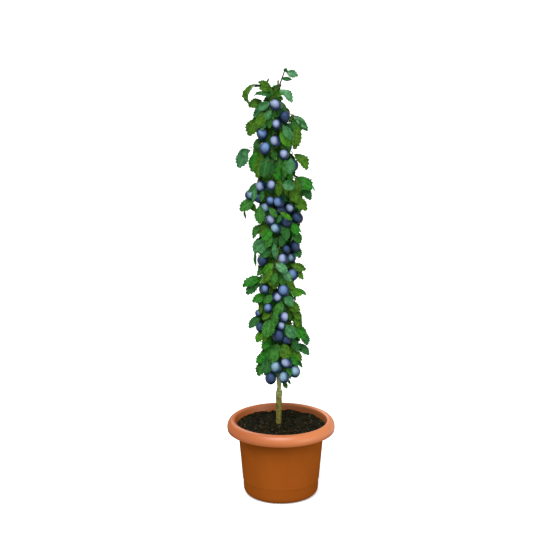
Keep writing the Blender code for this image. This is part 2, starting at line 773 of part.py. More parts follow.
def main():
    clear_scene()
    bark = finish("bark", (0.16, 0.13, 0.05), 0.8)
    materials = {
        "bark": bark,
        "leaf": finish("leaf", (0.045, 0.13, 0.028), 0.45),
        "plum": finish("plum", (0.05, 0.09, 0.17), 0.5),
    }
    make_pot()
    make_compost()
    trunk = make_trunk(bark)
    trunk_tree = mesh_tree(trunk.data)
    right_end, right_way, right_tree = make_shoot("top_shoot", TOP_SHOOT_LINE, 60, trunk_tree, bark)
    left_end, left_way, left_tree = make_shoot("arching_shoot", ARCH_SHOOT_LINE, -80, trunk_tree, bark)
    for number, tier in enumerate(TIERS, 1):
        make_tier(number, tier, trunk_tree, [right_tree, left_tree], materials)
    make_tuft("foliage_top_left", -90, left_end, left_way, TOP_LEFT_STEM, TOP_LEFT_LEAVES, materials)
    make_tuft("foliage_top_right", 90, right_end, right_way, TOP_RIGHT_STEM, TOP_RIGHT_LEAVES, materials)


main()
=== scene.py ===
"""The looks of a columnar plum tree in a round flowerpot. Metres, +Z up.

The origin is on the pot's axis, on its flat underside. A turn is an angle about the trunk in degrees:
0 is the front (-Y), 90 the right (+X) and -90 the left.
"""

import json
import math
import random
from collections import namedtuple
from itertools import product

import bpy
import numpy as np
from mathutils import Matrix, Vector, noise
from mathutils.bvhtree import BVHTree

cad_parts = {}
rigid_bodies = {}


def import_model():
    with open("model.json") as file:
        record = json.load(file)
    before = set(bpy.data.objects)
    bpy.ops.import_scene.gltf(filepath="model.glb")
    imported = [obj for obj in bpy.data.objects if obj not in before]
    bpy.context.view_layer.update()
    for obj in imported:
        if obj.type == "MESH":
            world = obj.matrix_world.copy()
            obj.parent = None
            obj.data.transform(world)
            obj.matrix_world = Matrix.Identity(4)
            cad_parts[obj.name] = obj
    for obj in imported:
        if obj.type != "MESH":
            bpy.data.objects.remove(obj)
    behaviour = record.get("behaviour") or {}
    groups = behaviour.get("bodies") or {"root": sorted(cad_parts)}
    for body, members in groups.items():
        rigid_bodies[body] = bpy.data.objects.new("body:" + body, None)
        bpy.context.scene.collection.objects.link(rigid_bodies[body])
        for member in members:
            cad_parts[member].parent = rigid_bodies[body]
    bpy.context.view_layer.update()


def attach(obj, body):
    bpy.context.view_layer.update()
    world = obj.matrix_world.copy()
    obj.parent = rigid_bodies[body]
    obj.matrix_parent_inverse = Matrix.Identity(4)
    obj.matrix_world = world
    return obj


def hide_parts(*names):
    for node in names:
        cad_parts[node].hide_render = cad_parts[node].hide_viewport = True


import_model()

bpy.ops.object.select_all(action="DESELECT")
bpy.context.scene.view_settings.view_transform = "Standard"


# Camera. It looks down a little on the tree from four metres away, as high as the tree's tip and more.
# The fruit and the leaves that stand out are placed through it, by where the photograph shows them.
PHOTO_SIDE = 553
CAMERA_PLACE = Vector((-0.0146, -3.9566, 1.6609))
CAMERA_TILT = math.radians(90.0 - 13.346)
CAMERA_LENS = 83.94
SENSOR_WIDTH = 36.0
FOCAL_PIXELS = CAMERA_LENS / SENSOR_WIDTH * PHOTO_SIDE
TILT_COS, TILT_SIN = math.cos(CAMERA_TILT), math.sin(CAMERA_TILT)

bpy.ops.object.camera_add(location=CAMERA_PLACE, rotation=(CAMERA_TILT, 0.0, 0.0))
camera = bpy.context.object
camera.data.lens = CAMERA_LENS
camera.data.sensor_width = SENSOR_WIDTH
bpy.context.scene.camera = camera


def seen_at(x, y, toward):
    """The point that a pixel of the photograph shows, this far in front of the pot's axis."""
    across = x - PHOTO_SIDE / 2
    up = PHOTO_SIDE / 2 - y
    ray = Vector((across, up * TILT_COS + FOCAL_PIXELS * TILT_SIN, up * TILT_SIN - FOCAL_PIXELS * TILT_COS))
    return CAMERA_PLACE + ray * ((-toward - CAMERA_PLACE.y) / ray.y)


def pixels_of(points):
    """Where points show in the photograph: an array of x, y and the distance from the camera."""
    offsets = np.asarray(points) - np.array(CAMERA_PLACE)
    height = offsets[:, 1] * TILT_COS + offsets[:, 2] * TILT_SIN
    depth = offsets[:, 1] * TILT_SIN - offsets[:, 2] * TILT_COS
    x = PHOTO_SIDE / 2 + FOCAL_PIXELS * offsets[:, 0] / depth
    y = PHOTO_SIDE / 2 - FOCAL_PIXELS * height / depth
    return np.stack([x, y, depth], axis=1)


# Pot. A moulded flowerpot of terracotta-coloured plastic: a rounded lower edge, a tapered wall with one
# faint ring, a fat lip rolled over and down its mouth, and six drain holes. It stands on its flat underside.
POT_HEIGHT = 0.250
POT_RIM_RADIUS = 0.1745
POT_CREST_RADIUS = 0.156
POT_CREST_ROUND = 0.008
POT_MOUTH_RADIUS = 0.148
POT_LIP_DEPTH = 0.037
POT_LIP_ROUND = 0.025
POT_NECK_RADIUS = 0.1385
POT_NECK = POT_HEIGHT - POT_LIP_DEPTH - 0.004
POT_SHOULDER = POT_HEIGHT - POT_LIP_DEPTH - 0.010
POT_CORNER_RADIUS = 0.1215
POT_CORNER_ROUND = 0.020
POT_WALL = 0.003
POT_FLOOR = 0.004
POT_FLOOR_INSET = 0.011
POT_RING_HEIGHT = 0.0478
POT_RING_DEPTH = 0.0016
# The ring's section: heights over its middle, and the share of its depth there
POT_RING = ((-0.0220, 0.0), (-0.0010, 1.0), (0.0004, 1.0), (0.0036, 0.0), (0.0050, 0.0))
POT_SEGMENTS = 128
DRAIN_HOLES = 6
DRAIN_RADIUS = 0.006
DRAIN_CIRCLE_RADIUS = 0.070
POT_BODY_COLOUR = (0.148, 0.037, 0.0045)
POT_BODY_SHADE = (0.126, 0.031, 0.0035)
# Painted shadow just under the lip; the same colour also darkens the body below the ring
POT_LIP_SHADOW_AND_FOOT_COLOUR = (0.104, 0.025, 0.0022)
POT_FOOT_SHARE = 0.4
# Painted shade on the inside of the wall
POT_INNER_SHADE_COLOUR = (0.046, 0.015, 0.004)
# The lip's colour with painted shade at its left end and painted light at its right end
POT_LIP_SHADED_END = (0.196, 0.050, 0.011)
POT_LIP_LIT_END = (0.270, 0.083, 0.025)
POT_LIP_COAT = 0.62


class Signal:
    """A number that changes over a surface, inside one finish. Sums and products of it add Math nodes."""

    def __init__(self, finish, socket):
        self.finish = finish
        self.socket = socket

    def math(self, operation, *others):
        inputs = dict(enumerate((self, *others)))
        return self.finish.node("ShaderNodeMath", {"operation": operation}, inputs, "Value")

    def __add__(self, other):
        return self.math("ADD", other)

    def __sub__(self, other):
        return self.math("SUBTRACT", other)

    def __rsub__(self, other):
        return (self * -1.0) + other

    def __mul__(self, other):
        return self.math("MULTIPLY", other)

    def __abs__(self):
        return self.math("ABSOLUTE")

    __radd__ = __add__
    __rmul__ = __mul__

    def rising(self, start, stop):
        """0 where this signal is under start, 1 where it is over stop, and a smooth rise between them."""
        settings = {"interpolation_type": "SMOOTHSTEP"}
        inputs = {"Value": self, "From Min": start, "From Max": stop}
        return self.finish.node("ShaderNodeMapRange", settings, inputs, "Result")


class Finish:
    """A material and the few ways its nodes are made. Constants go on the shader's own sockets."""

    def __init__(self, name, **constants):
        self.material = bpy.data.materials.new(name)
        self.material.use_nodes = True
        self.tree = self.material.node_tree
        self.shader = self.tree.nodes["Principled BSDF"]
        self.feed(**constants)

    def node(self, kind, settings, inputs, output):
        made = self.tree.nodes.new(kind)
        stops = settings.pop("stops", ())
        for setting, value in settings.items():
            setattr(made, setting, value)
        for i, (position, colour) in enumerate(stops):
            stop = made.color_ramp.elements[i] if i < 2 else made.color_ramp.elements.new(position)
            stop.position = position
            stop.color = (*colour, 1.0)
        for socket, value in inputs.items():
            self.set(made.inputs[socket], value)
        return Signal(self, made.outputs[output])

    def set(self, socket, value):
        if isinstance(value, Signal):
            self.tree.links.new(value.socket, socket)
        elif isinstance(value, tuple) and len(value) == 3 and socket.type == "RGBA":
            socket.default_value = (*value, 1.0)
        else:
            socket.default_value = value

    def feed(self, **signals):
        for socket, value in signals.items():
            self.set(self.shader.inputs[socket.replace("_", " ")], value)

    def place(self, kind="Object"):
        return self.node("ShaderNodeTexCoord", {}, {}, kind)

    def part(self, place, axis):
        return self.node("ShaderNodeSeparateXYZ", {}, {"Vector": place}, axis)

    def stretched(self, place, scale):
        return self.node("ShaderNodeMapping", {}, {"Vector": place, "Scale": scale}, "Vector")

    def grain(self, place, scale, detail=3.0, roughness=0.55):
        inputs = {"Vector": place, "Scale": scale, "Detail": detail, "Roughness": roughness}
        return self.node("ShaderNodeTexNoise", {}, inputs, "Fac")

    def blend(self, share, first, second):
        return self.node("ShaderNodeMix", {"data_type": "RGBA"}, {0: share, 6: first, 7: second}, 2)

    def ramp(self, share, *stops):
        return self.node("ShaderNodeValToRGB", {"stops": stops}, {"Fac": share}, "Color")

    def bump(self, height, strength, distance):
        inputs = {"Height": height, "Strength": strength, "Distance": distance}
        return self.node("ShaderNodeBump", {}, inputs, "Normal")


def arc(middle, radii, start, stop, steps):
    """Points of (radius, height) on part of an ellipse in a turned profile, its angles in degrees."""
    angles = [math.radians(start + (stop - start) * i / steps) for i in range(steps + 1)]
    return [(middle[0] + radii[0] * math.cos(a), middle[1] + radii[1] * math.sin(a)) for a in angles]


def draw_up(name, rings, sides):
    """A closed round piece: a filled circle drawn out ring by ring through stations of (middle, radius)."""
    here, radius = rings[0]
    bpy.ops.mesh.primitive_circle_add(vertices=sides, radius=radius, fill_type="NGON", location=here)
    bpy.ops.object.mode_set(mode="EDIT")
    for there, next_radius in rings[1:]:
        move = tuple(b - a for a, b in zip(here, there))
        share = next_radius / radius
        bpy.ops.mesh.extrude_region_move(TRANSFORM_OT_translate={"value": move})
        bpy.ops.transform.resize(value=(share, share, 1), center_override=there)
        here, radius = there, next_radius
    bpy.ops.mesh.select_all(action="SELECT")
    bpy.ops.mesh.normals_make_consistent(inside=False)
    bpy.ops.object.mode_set(mode="OBJECT")
    bpy.ops.object.transform_apply(location=True, rotation=True, scale=True)
    piece = bpy.context.object
    piece.name = name
    return piece


def turn_up(name, profile):
    """A closed piece turned about the pot's axis, through a profile of (radius, height) stations."""
    return draw_up(name, [((0, 0, height), radius) for radius, height in profile], POT_SEGMENTS)


def dress(piece, finishes, slot, *replaced):
    """Gives a piece its finishes, the body that it rides on and the nodes that it stands for. The slot is
    not used.
    """
    piece.data.materials.clear()
    for finish in finishes:
        piece.data.materials.append(finish.material)
    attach(piece, "root")
    if replaced:
        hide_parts(*replaced)


def pot_wall_radius(height):
    share = (height - POT_CORNER_ROUND) / (POT_NECK - POT_CORNER_ROUND)
    return POT_CORNER_RADIUS + (POT_NECK_RADIUS - POT_CORNER_RADIUS) * share


corner_middle = (POT_CORNER_RADIUS - POT_CORNER_ROUND, POT_CORNER_ROUND)
lip_middle = (POT_CREST_RADIUS, POT_HEIGHT - POT_LIP_ROUND)
lip_reach = POT_RIM_RADIUS - POT_CREST_RADIUS
pot_profile = arc(corner_middle, (POT_CORNER_ROUND, POT_CORNER_ROUND), -90, 0, 8)
for over, sunk in POT_RING:
    ring_radius = pot_wall_radius(POT_RING_HEIGHT + over) - POT_RING_DEPTH * sunk
    pot_profile.append((ring_radius, POT_RING_HEIGHT + over))
pot_profile += [(pot_wall_radius(height), height) for height in (0.09, 0.13, 0.17)]
pot_profile += [(POT_NECK_RADIUS, POT_NECK), (POT_MOUTH_RADIUS + POT_WALL, POT_HEIGHT - 0.009)]
pot_profile += arc(lip_middle, (lip_reach - POT_WALL, POT_LIP_ROUND - POT_WALL), 90, -20, 8)
pot_profile += arc(lip_middle, (lip_reach, POT_LIP_ROUND), -22, 90, 14)
crest_middle = (POT_CREST_RADIUS, POT_HEIGHT - POT_CREST_ROUND)
pot_profile += arc(crest_middle, (POT_CREST_ROUND, POT_CREST_ROUND), 90, 180, 4)[1:]
pot_profile += [(POT_NECK_RADIUS - POT_WALL, POT_SHOULDER), (POT_CORNER_RADIUS - POT_WALL, POT_CORNER_ROUND)]
pot_profile += [(POT_CORNER_RADIUS - POT_FLOOR_INSET, POT_FLOOR)]
pot_shell = turn_up("pot_shell", pot_profile)

drills = bpy.data.collections.new("drain drills")
bpy.context.scene.collection.children.link(drills)
for i in range(DRAIN_HOLES):
    angle = math.tau * (i + 0.5) / DRAIN_HOLES
    place = (DRAIN_CIRCLE_RADIUS * math.sin(angle), -DRAIN_CIRCLE_RADIUS * math.cos(angle), 0.0)
    bpy.ops.mesh.primitive_cylinder_add(vertices=24, radius=DRAIN_RADIUS, depth=0.03, location=place)
    drill = bpy.context.object
    drills.objects.link(drill)
    bpy.context.scene.collection.objects.unlink(drill)
bpy.ops.object.select_all(action="DESELECT")
bpy.context.view_layer.objects.active = pot_shell
pot_shell.select_set(True)
cut = pot_shell.modifiers.new("drain holes", "BOOLEAN")
cut.operation = "DIFFERENCE"
cut.operand_type = "COLLECTION"
cut.collection = drills
bpy.ops.object.modifier_apply(modifier=cut.name)
for drill in list(drills.objects):
    bpy.data.objects.remove(drill, do_unlink=True)
bpy.data.collections.remove(drills)
bpy.ops.object.shade_smooth_by_angle(angle=math.radians(38))

terracotta = Finish("terracotta plastic", Specular_IOR_Level=0.0, Coat_Roughness=0.42)
place = terracotta.place()
clouds = terracotta.grain(place, 9.0, 4.0, 0.6)
specks = terracotta.grain(place, 700.0, 2.0, 0.6)
streaks = terracotta.grain(terracotta.stretched(place, (60.0, 60.0, 5.0)), 1.0, 2.0, 0.5)
mottled = clouds * 0.8 + streaks * 0.2
height = terracotta.part(place, "Z")
across = terracotta.part(place, "X")
# Painted light: the lip is paler than the body, as light falling on its top, most of all at its right end,
# and its coat's sheen is weaker at its left end. Painted shadow darkens the wall just under the lip and the
# inside of the wall, most of all on the right. Below the ring the body is darker.
lip_painted_light = height.rising(0.205, 0.236)
painted_lip_shadow = height.rising(0.188, 0.206) * (1.0 - height.rising(0.2105, 0.2140))
below_ring = 1.0 - height.rising(0.0440, 0.0490)
body_colour = terracotta.blend(mottled.rising(0.2, 0.8), POT_BODY_COLOUR, POT_BODY_SHADE)
body_colour = terracotta.blend(painted_lip_shadow + below_ring * POT_FOOT_SHARE, body_colour, POT_LIP_SHADOW_AND_FOOT_COLOUR)
lip_light_and_shade = terracotta.blend(across.rising(-0.19, 0.19), POT_LIP_SHADED_END, POT_LIP_LIT_END)
level = terracotta.stretched(place, (1.0, 1.0, 0.0))
from_axis = terracotta.node("ShaderNodeVectorMath", {"operation": "LENGTH"}, {0: level}, "Value")
# Painted shade inside the wall under the crest: a little all round, deepest on the right
painted_inner_shade = (1.0 - from_axis.rising(0.1470, 0.1500)) * (across.rising(-0.04, 0.10) * 0.55 + 0.10)
painted_inner_shade = painted_inner_shade * height.rising(0.215, 0.220)
terracotta.feed(
    Base_Color=terracotta.blend(painted_inner_shade, terracotta.blend(lip_painted_light, body_colour, lip_light_and_shade), POT_INNER_SHADE_COLOUR),
    Coat_Weight=lip_painted_light * (1.0 - painted_inner_shade) * (across.rising(-0.180, -0.095) * 0.75 + 0.25) * POT_LIP_COAT,
    Roughness=clouds * 0.16 + 0.34,
    Normal=terracotta.bump(specks, 0.10, 0.0004),
)
dress(pot_shell, [terracotta], "pot", "pot")


# Compost. Dark, damp potting compost that fills the pot to two centimetres under its crest, lumpy on top,
# with bark bits and a few pale fibres lying on it. The trunk rises from it.
UP = Vector((0, 0, 1))
SOIL_TOP = 0.229
SOIL_RIM_RADIUS = 0.1428
SOIL_EDGE_GAP = 0.0005
SOIL_RING_STEP = 0.0024
# The lumps of three sizes: how close together, the slice of the noise, and how high
SOIL_LUMPS = ((38, 1.7, 0.0042), (110, 5.2, 0.0036), (280, 9.1, 0.0020))
SOIL_HEAP = 0.0035
BARK_BITS = 620
# The bounds of a bark bit's length, breadth and thickness
BARK_BIT_SIDES = ((0.005, 0.014), (0.004, 0.010), (0.002, 0.006))
FIBRES = 90


class Bunch:
    """Many small shapes of one kind, gathered to be joined in one piece."""

    def __init__(self):
        self.corners = []
        self.faces = []
        self.finishes = []
        self.places = []

    def add(self, corners, faces, finish=0, places=()):
        start = len(self.corners)
        self.corners.extend(np.asarray(corners).tolist())
        self.faces.extend([[start + i for i in face] for face in faces])
        self.finishes.extend([finish] * len(faces))
        self.places.extend(places)

    def join(self, name, finishes, slot, *replaced):
        mesh = bpy.data.meshes.new(name)
        mesh.from_pydata(self.corners, [], self.faces)
        if self.places:
            mesh.uv_layers.new(name="surface").data.foreach_set("uv", np.ravel(self.places))
        mesh.shade_smooth()
        piece = bpy.data.objects.new(name, mesh)
        bpy.context.scene.collection.objects.link(piece)
        dress(piece, finishes, slot, *replaced)
        mesh.polygons.foreach_set("material_index", self.finishes)


def tube(points, radii, sides):
    """Corners and faces of a round tube along points, with closed ends."""
    points = [Vector(point) for point in points]
    corners = []
    side = None
    for i, point in enumerate(points):
        tangent = (points[min(i + 1, len(points) - 1)] - points[max(i - 1, 0)]).normalized()
        if side is None:
            side = tangent.cross(UP if abs(tangent.z) < 0.9 else Vector((1, 0, 0)))
        side = (side - tangent * side.dot(tangent)).normalized()
        other = tangent.cross(side)
        for k in range(sides):
            angle = math.tau * k / sides
            corners.append(point + (side * math.cos(angle) + other * math.sin(angle)) * radii[i])
    faces = []
    for low in range(0, sides * (len(points) - 1), sides):
        high = low + sides
        faces += [(low + k, low + (k + 1) % sides, high + (k + 1) % sides, high + k) for k in range(sides)]
    faces.append(tuple(range(sides))[::-1])
    faces.append(tuple(range(len(corners) - sides, len(corners))))
    return corners, faces


def soil_height(x, y):
    """The compost's lumpy top, a little heaped round the trunk's foot and sunk at the pot's wall."""
    lumps = 0.0
    for close, slice_at, high in SOIL_LUMPS:
        lumps += noise.noise(Vector((x * close, y * close, slice_at))) * high
    heap = SOIL_HEAP * math.exp(-((x + 0.007) ** 2 + y**2) / 0.018**2)
    return SOIL_TOP + lumps + heap


def shape_of(piece):
    """The corners, faces and surface places of a modelled piece, which is then removed."""
    mesh = piece.data
    corners = np.array([vertex.co for vertex in mesh.vertices])
    faces = [tuple(face.vertices) for face in mesh.polygons]
    layer = mesh.uv_layers.active
    places = [tuple(layer.data[i].uv) for face in mesh.polygons for i in face.loop_indices] if layer else []
    bpy.data.objects.remove(piece, do_unlink=True)
    return corners, faces, places


soil_profile = [(POT_CORNER_RADIUS - POT_FLOOR_INSET - SOIL_EDGE_GAP, POT_FLOOR + 0.0003)]
soil_profile += [(POT_CORNER_RADIUS - POT_WALL - SOIL_EDGE_GAP, POT_CORNER_ROUND)]
soil_profile += [(POT_NECK_RADIUS - POT_WALL - SOIL_EDGE_GAP, POT_SHOULDER), (SOIL_RIM_RADIUS, SOIL_TOP)]
for i in range(1, int(SOIL_RIM_RADIUS / SOIL_RING_STEP)):
    soil_profile.append((SOIL_RIM_RADIUS - SOIL_RING_STEP * i, SOIL_TOP))
compost_fill = turn_up("compost_fill", soil_profile)
for vertex in compost_fill.data.vertices:
    if vertex.co.z > SOIL_TOP - 0.001:
        vertex.co.z = soil_height(vertex.co.x, vertex.co.y)
bpy.ops.object.shade_smooth_by_angle(angle=math.radians(60))

damp_compost = Finish("damp compost", Specular_IOR_Level=0.02)
place = damp_compost.place()
crumbs = damp_compost.grain(place, 210.0, 5.0, 0.7)
patches = damp_compost.grain(place, 30.0, 3.0, 0.6)
black, brown, pale = (0.0012, 0.0011, 0.0004), (0.0065, 0.0060, 0.0018), (0.022, 0.018, 0.005)
damp_compost.feed(
    Base_Color=damp_compost.ramp(crumbs * 0.7 + patches * 0.3, (0.36, black), (0.60, brown), (0.78, pale)),
    Roughness=crumbs * 0.3 + 0.65,
    Normal=damp_compost.bump(crumbs, 0.9, 0.003),
)
dress(compost_fill, [damp_compost], "compost", "compost")

bpy.ops.mesh.primitive_cube_add(size=1.0)
bpy.ops.object.mode_set(mode="EDIT")
bpy.ops.mesh.bevel(offset=0.22, segments=1)
bpy.ops.object.mode_set(mode="OBJECT")
bit_corners, bit_faces, _ = shape_of(bpy.context.object)


def soil_spot(chance):
    """A random spot on the compost, clear of the trunk and of the wall."""
    while True:
        x, y = chance.uniform(-1, 1), chance.uniform(-1, 1)
        if 0.12 < math.hypot(x, y) < 0.95:
            return x * SOIL_RIM_RADIUS, y * SOIL_RIM_RADIUS


def turned(corners, angles):
    """Corners turned about X, then Y, then Z."""
    a, b, c = angles
    about_x = np.array([[1, 0, 0], [0, math.cos(a), -math.sin(a)], [0, math.sin(a), math.cos(a)]])
    about_y = np.array([[math.cos(b), 0, math.sin(b)], [0, 1, 0], [-math.sin(b), 0, math.cos(b)]])
    about_z = np.array([[math.cos(c), -math.sin(c), 0], [math.sin(c), math.cos(c), 0], [0, 0, 1]])
    return corners @ (about_z @ about_y @ about_x).T


chance = random.Random(5)
bits = Bunch()
for i in range(BARK_BITS):
    x, y = soil_spot(chance)
    size = chance.uniform(0.5, 1.0) ** 2 * (1.7 if chance.random() < 0.06 else 1.0)
    sides = np.array([chance.uniform(*span) for span in BARK_BIT_SIDES]) * size
    ragged = bit_corners * np.array([[chance.uniform(0.7, 1.2) for _ in range(3)] for _ in bit_corners])
    angles = (chance.gauss(0, 0.45), chance.gauss(0, 0.45), chance.uniform(0, math.tau))
    corners = turned(ragged * sides, angles) + np.array([x, y, soil_height(x, y) + sides[2] * 0.2])
    bits.add(corners, bit_faces, chance.choices((0, 1, 2, 3), (10, 6, 3, 1))[0])
for i in range(FIBRES):
    x, y = soil_spot(chance)
    heading = chance.uniform(0, math.tau)
    length = chance.uniform(0.006, 0.022)
    points = []
    for k in range(4):
        x += math.cos(heading) * length / 3
        y += math.sin(heading) * length / 3
        heading += chance.uniform(-0.7, 0.7)
        points.append((x, y, soil_height(x, y) + 0.0012 + chance.uniform(0, 0.001)))
    if math.hypot(x, y) < SOIL_RIM_RADIUS * 0.96:
        bits.add(*tube(points, [0.0004] * 4, 3), chance.choices((1, 2, 4, 5), (3, 3, 2, 3))[0])


def plain(name, colour, roughness):
    """A finish of one colour with a little variation, for small rough things."""
    made = Finish(name, Roughness=roughness, Specular_IOR_Level=0.03)
    shade = made.grain(made.place(), 90.0, 2.0, 0.6)
    darker = tuple(0.55 * part for part in colour)
    made.feed(Base_Color=made.blend(shade.rising(0.35, 0.65), darker, colour))
    return made


bit_finishes = [
    plain("black bark bits", (0.0025, 0.0022, 0.0012), 0.85),
    plain("brown bark bits", (0.011, 0.0075, 0.0025), 0.8),
    plain("grey bark bits", (0.022, 0.021, 0.012), 0.85),
    plain("reddish bark bits", (0.040, 0.012, 0.004), 0.8),
    plain("pale fibres", (0.100, 0.095, 0.035), 0.8),
    plain("mossy fibres", (0.030, 0.050, 0.005), 0.8),
]
bits.join("compost_bits", bit_finishes, "compost")


# Trunk. One thin living stem, olive-green and a little knobbly. A hand's breadth up it is grafted on a
# stouter stock that stands a little to the left. From there it runs almost straight up to the crown's tip.
TRUNK_FOOT = SOIL_TOP + 0.0003
TRUNK_TIP = 1.336
# The line that its middle follows: height, x and y
TRUNK_LINE = (
    (TRUNK_FOOT, -0.0062, 0.000), (0.340, -0.0056, 0.001), (0.520, -0.0122, 0.003),
    (0.750, -0.0210, 0.000), (1.130, -0.0240, -0.003), (TRUNK_TIP, -0.0095, 0.002),
)
# Its radius at heights over its foot
TRUNK_GIRTH = (
    (0.000, 0.0086), (0.006, 0.0092), (0.045, 0.0093), (0.092, 0.0099), (0.104, 0.0101), (0.110, 0.0101),
    (0.117, 0.0082), (0.130, 0.0075), (0.145, 0.0080), (1.030, 0.0025), (1.045, 0.0030),
    (TRUNK_TIP - TRUNK_FOOT, 0.0026),
)
TRUNK_SIDES = 20
TRUNK_STEP = 0.0042
BUD_SPACING = 0.034
BUD_TURN = 144.0
BUD_HEIGHT = 0.0013
GRAFT_HEIGHT = 0.338
GRAFT_SWELL = 0.0008
WAIST_HEIGHT = GRAFT_HEIGHT + 0.018
WAIST_DEPTH = 0.0009
SCAR_TURN = 70.0
SCAR_HEIGHT = GRAFT_HEIGHT + 0.003
SCAR_SWELL = 0.0024
STOCK_ASIDE = 0.0014
OLD_BARK = ((0.36, (0.022, 0.014, 0.003)), (0.52, (0.078, 0.070, 0.010)), (0.68, (0.150, 0.150, 0.045)))
YOUNG_BARK = ((0.34, (0.035, 0.035, 0.008)), (0.50, (0.120, 0.140, 0.040)), (0.66, (0.240, 0.270, 0.130)))
# Painted shadow at the trunk's foot
FOOT_SHADOW_BARK = (0.018, 0.015, 0.004)
TIP_BARK = (0.022, 0.036, 0.006)


def along(points, share):
    """The point at this share of a smooth line through the points, which it runs through."""
    place = share * (len(points) - 1)
    i = min(int(place), len(points) - 2)
    t = place - i
    a, b, c, d = (Vector(points[k]) for k in (max(i - 1, 0), i, i + 1, min(i + 2, len(points) - 1)))
    return 0.5 * (2 * b + (c - a) * t + (2 * a - 5 * b + 4 * c - d) * t**2 + (3 * b - a - 3 * c + d) * t**3)


def between(stations, height):
    """The value at this height on straight runs between (height, value) stations."""
    for (low, first), (high, second) in zip(stations, stations[1:]):
        if height <= high:
            share = max(height - low, 0.0) / (high - low)
            return first + (second - first) * share
    return stations[-1][1]


def hump(*offsets):
    """1 in the middle of a smooth hump and near 0 away from it. Offsets are counted in hump widths."""
    return math.exp(-sum(offset**2 for offset in offsets))


def trunk_centre(height):
    inside = min(max(height, TRUNK_FOOT), TRUNK_TIP)
    for i, (low, high) in enumerate(zip(TRUNK_LINE, TRUNK_LINE[1:])):
        if inside <= high[0]:
            share = (i + (inside - low[0]) / (high[0] - low[0])) / (len(TRUNK_LINE) - 1)
            _, x, y = along(TRUNK_LINE, share)
            return Vector((x, y, height))


def trunk_radius(height):
    return between(TRUNK_GIRTH, height - TRUNK_FOOT)


def outward(turn):
    return Vector((math.sin(math.radians(turn)), -math.cos(math.radians(turn)), 0.0))


def place_at(turn, radius, height):
    return trunk_centre(height) + outward(turn) * radius


def turn_and_radius(point):
    offset = point - trunk_centre(point.z)
    return math.degrees(math.atan2(offset.x, -offset.y)), math.hypot(offset.x, offset.y)


trunk_steps = round((TRUNK_TIP - TRUNK_FOOT) / TRUNK_STEP)
trunk_heights = [TRUNK_FOOT + (TRUNK_TIP - TRUNK_FOOT) * i / trunk_steps for i in range(trunk_steps + 1)]
trunk_middles = [trunk_centre(height) for height in trunk_heights]
trunk_rings = [(middle, trunk_radius(middle.z)) for middle in trunk_middles]
trunk_bark = draw_up("trunk_bark", trunk_rings, TRUNK_SIDES)
for vertex in trunk_bark.data.vertices:
    turn, radius = turn_and_radius(vertex.co)
    if radius < 0.0005:
        continue
    x, y, height = vertex.co
    relief = noise.noise(Vector((x * 90, y * 90, height * 45))) * 0.0010
    relief += noise.noise(Vector((x * 260, y * 260, height * 480))) * 0.0004
    relief += GRAFT_SWELL * hump((height - GRAFT_HEIGHT) / 0.006)
    relief -= WAIST_DEPTH * hump((height - WAIST_HEIGHT) / 0.009)
    relief += SCAR_SWELL * hump((turn - SCAR_TURN) / 28.0, (height - SCAR_HEIGHT) / 0.0045)
    bud = round((height - TRUNK_FOOT) / BUD_SPACING)
    aside = abs((turn - bud * BUD_TURN % 360.0 + 180.0) % 360.0 - 180.0) / 42.0
    above = (height - TRUNK_FOOT - bud * BUD_SPACING) / 0.0055
    relief += BUD_HEIGHT * hump(aside, above) * min(radius / 0.008, 1.0)
    away = (vertex.co - trunk_centre(height)).normalized()
    vertex.co += away * relief * min(radius / 0.007, 1.0)
    vertex.co.x -= STOCK_ASIDE * (1.0 - min(max((height - GRAFT_HEIGHT) / 0.012, 0.0), 1.0))
bpy.ops.object.shade_smooth_by_angle(angle=math.radians(60))

olive_bark = Finish("olive bark", Specular_IOR_Level=0.12)
place = olive_bark.place()
rings = olive_bark.grain(olive_bark.stretched(place, (70.0, 70.0, 420.0)), 1.0, 3.0, 0.6)
blotches = olive_bark.grain(place, 75.0, 4.0, 0.65)
share = blotches * 0.6 + rings * 0.4
height = olive_bark.part(place, "Z")
old_bark, young_bark = olive_bark.ramp(share, *OLD_BARK), olive_bark.ramp(share, *YOUNG_BARK)
bark_colour = olive_bark.blend(height.rising(0.318, 0.338), old_bark, young_bark)
# Painted shadow at the trunk's foot, where it meets the compost
bark_colour = olive_bark.blend(height.rising(0.229, 0.241), FOOT_SHADOW_BARK, bark_colour)
olive_bark.feed(
    Base_Color=olive_bark.blend(height.rising(1.285, 1.315), bark_colour, TIP_BARK),
    Roughness=blotches * 0.25 + 0.5,
    Normal=olive_bark.bump(rings * 0.6 + blotches * 0.4, 0.55, 0.0012),
)
dress(trunk_bark, [olive_bark], "bark", "trunk")


# Boughs and twigs. Two slender shoots stand out of the crown's top; inside the crown, tiers of three short
# fruiting branches leave the trunk all round and fork into fine twigs. All are thin brown-green wood.
# The shoots: the height and the turn at which one leaves the trunk, and the points that it runs through
SHOOTS = (
    (1.292, 60, (
        (-0.0062, -0.006, 1.318), (0.0004, -0.008, 1.338), (0.0055, -0.008, 1.352), (0.0112, -0.008, 1.369),
    )),
    (1.305, -80, ((-0.034, -0.004, 1.315), (-0.052, -0.006, 1.320), (-0.079, -0.009, 1.3235))),
)
SHOOT_STEPS = 16
SHOOT_RADIUS = 0.0025
SHOOT_TIP_RADIUS = 0.0019
TIER_HEIGHT = 0.116
TOP_TIER_HEIGHT = 0.080
TIER_DROOP = 0.85
TIER_TURNS = (12, -28, 17, 47, -5, -37, 5, 35)
# The masses round the trunk in a tier, by the last letters of their names
MASSES_ROUND = "abc"
CROWN_FOOT = 0.452
STEM_ROOT_SHARE = 0.42
STEM_RADIUS = 0.0026
TWIG_RADIUS = 0.0018
TWIG_TIP_RADIUS = 0.0009
TWIG_LIFT = 0.006
TWIG_MARGIN = 0.006
# Where a mass's stem and its main twigs end: turn from the mass's middle, radius, share of the tier's height
TWIG_ENDS = ((2, 0.044, 0.80), (-34, 0.038, 0.52), (34, 0.038, 0.46))
FINER_TWIGS = 6
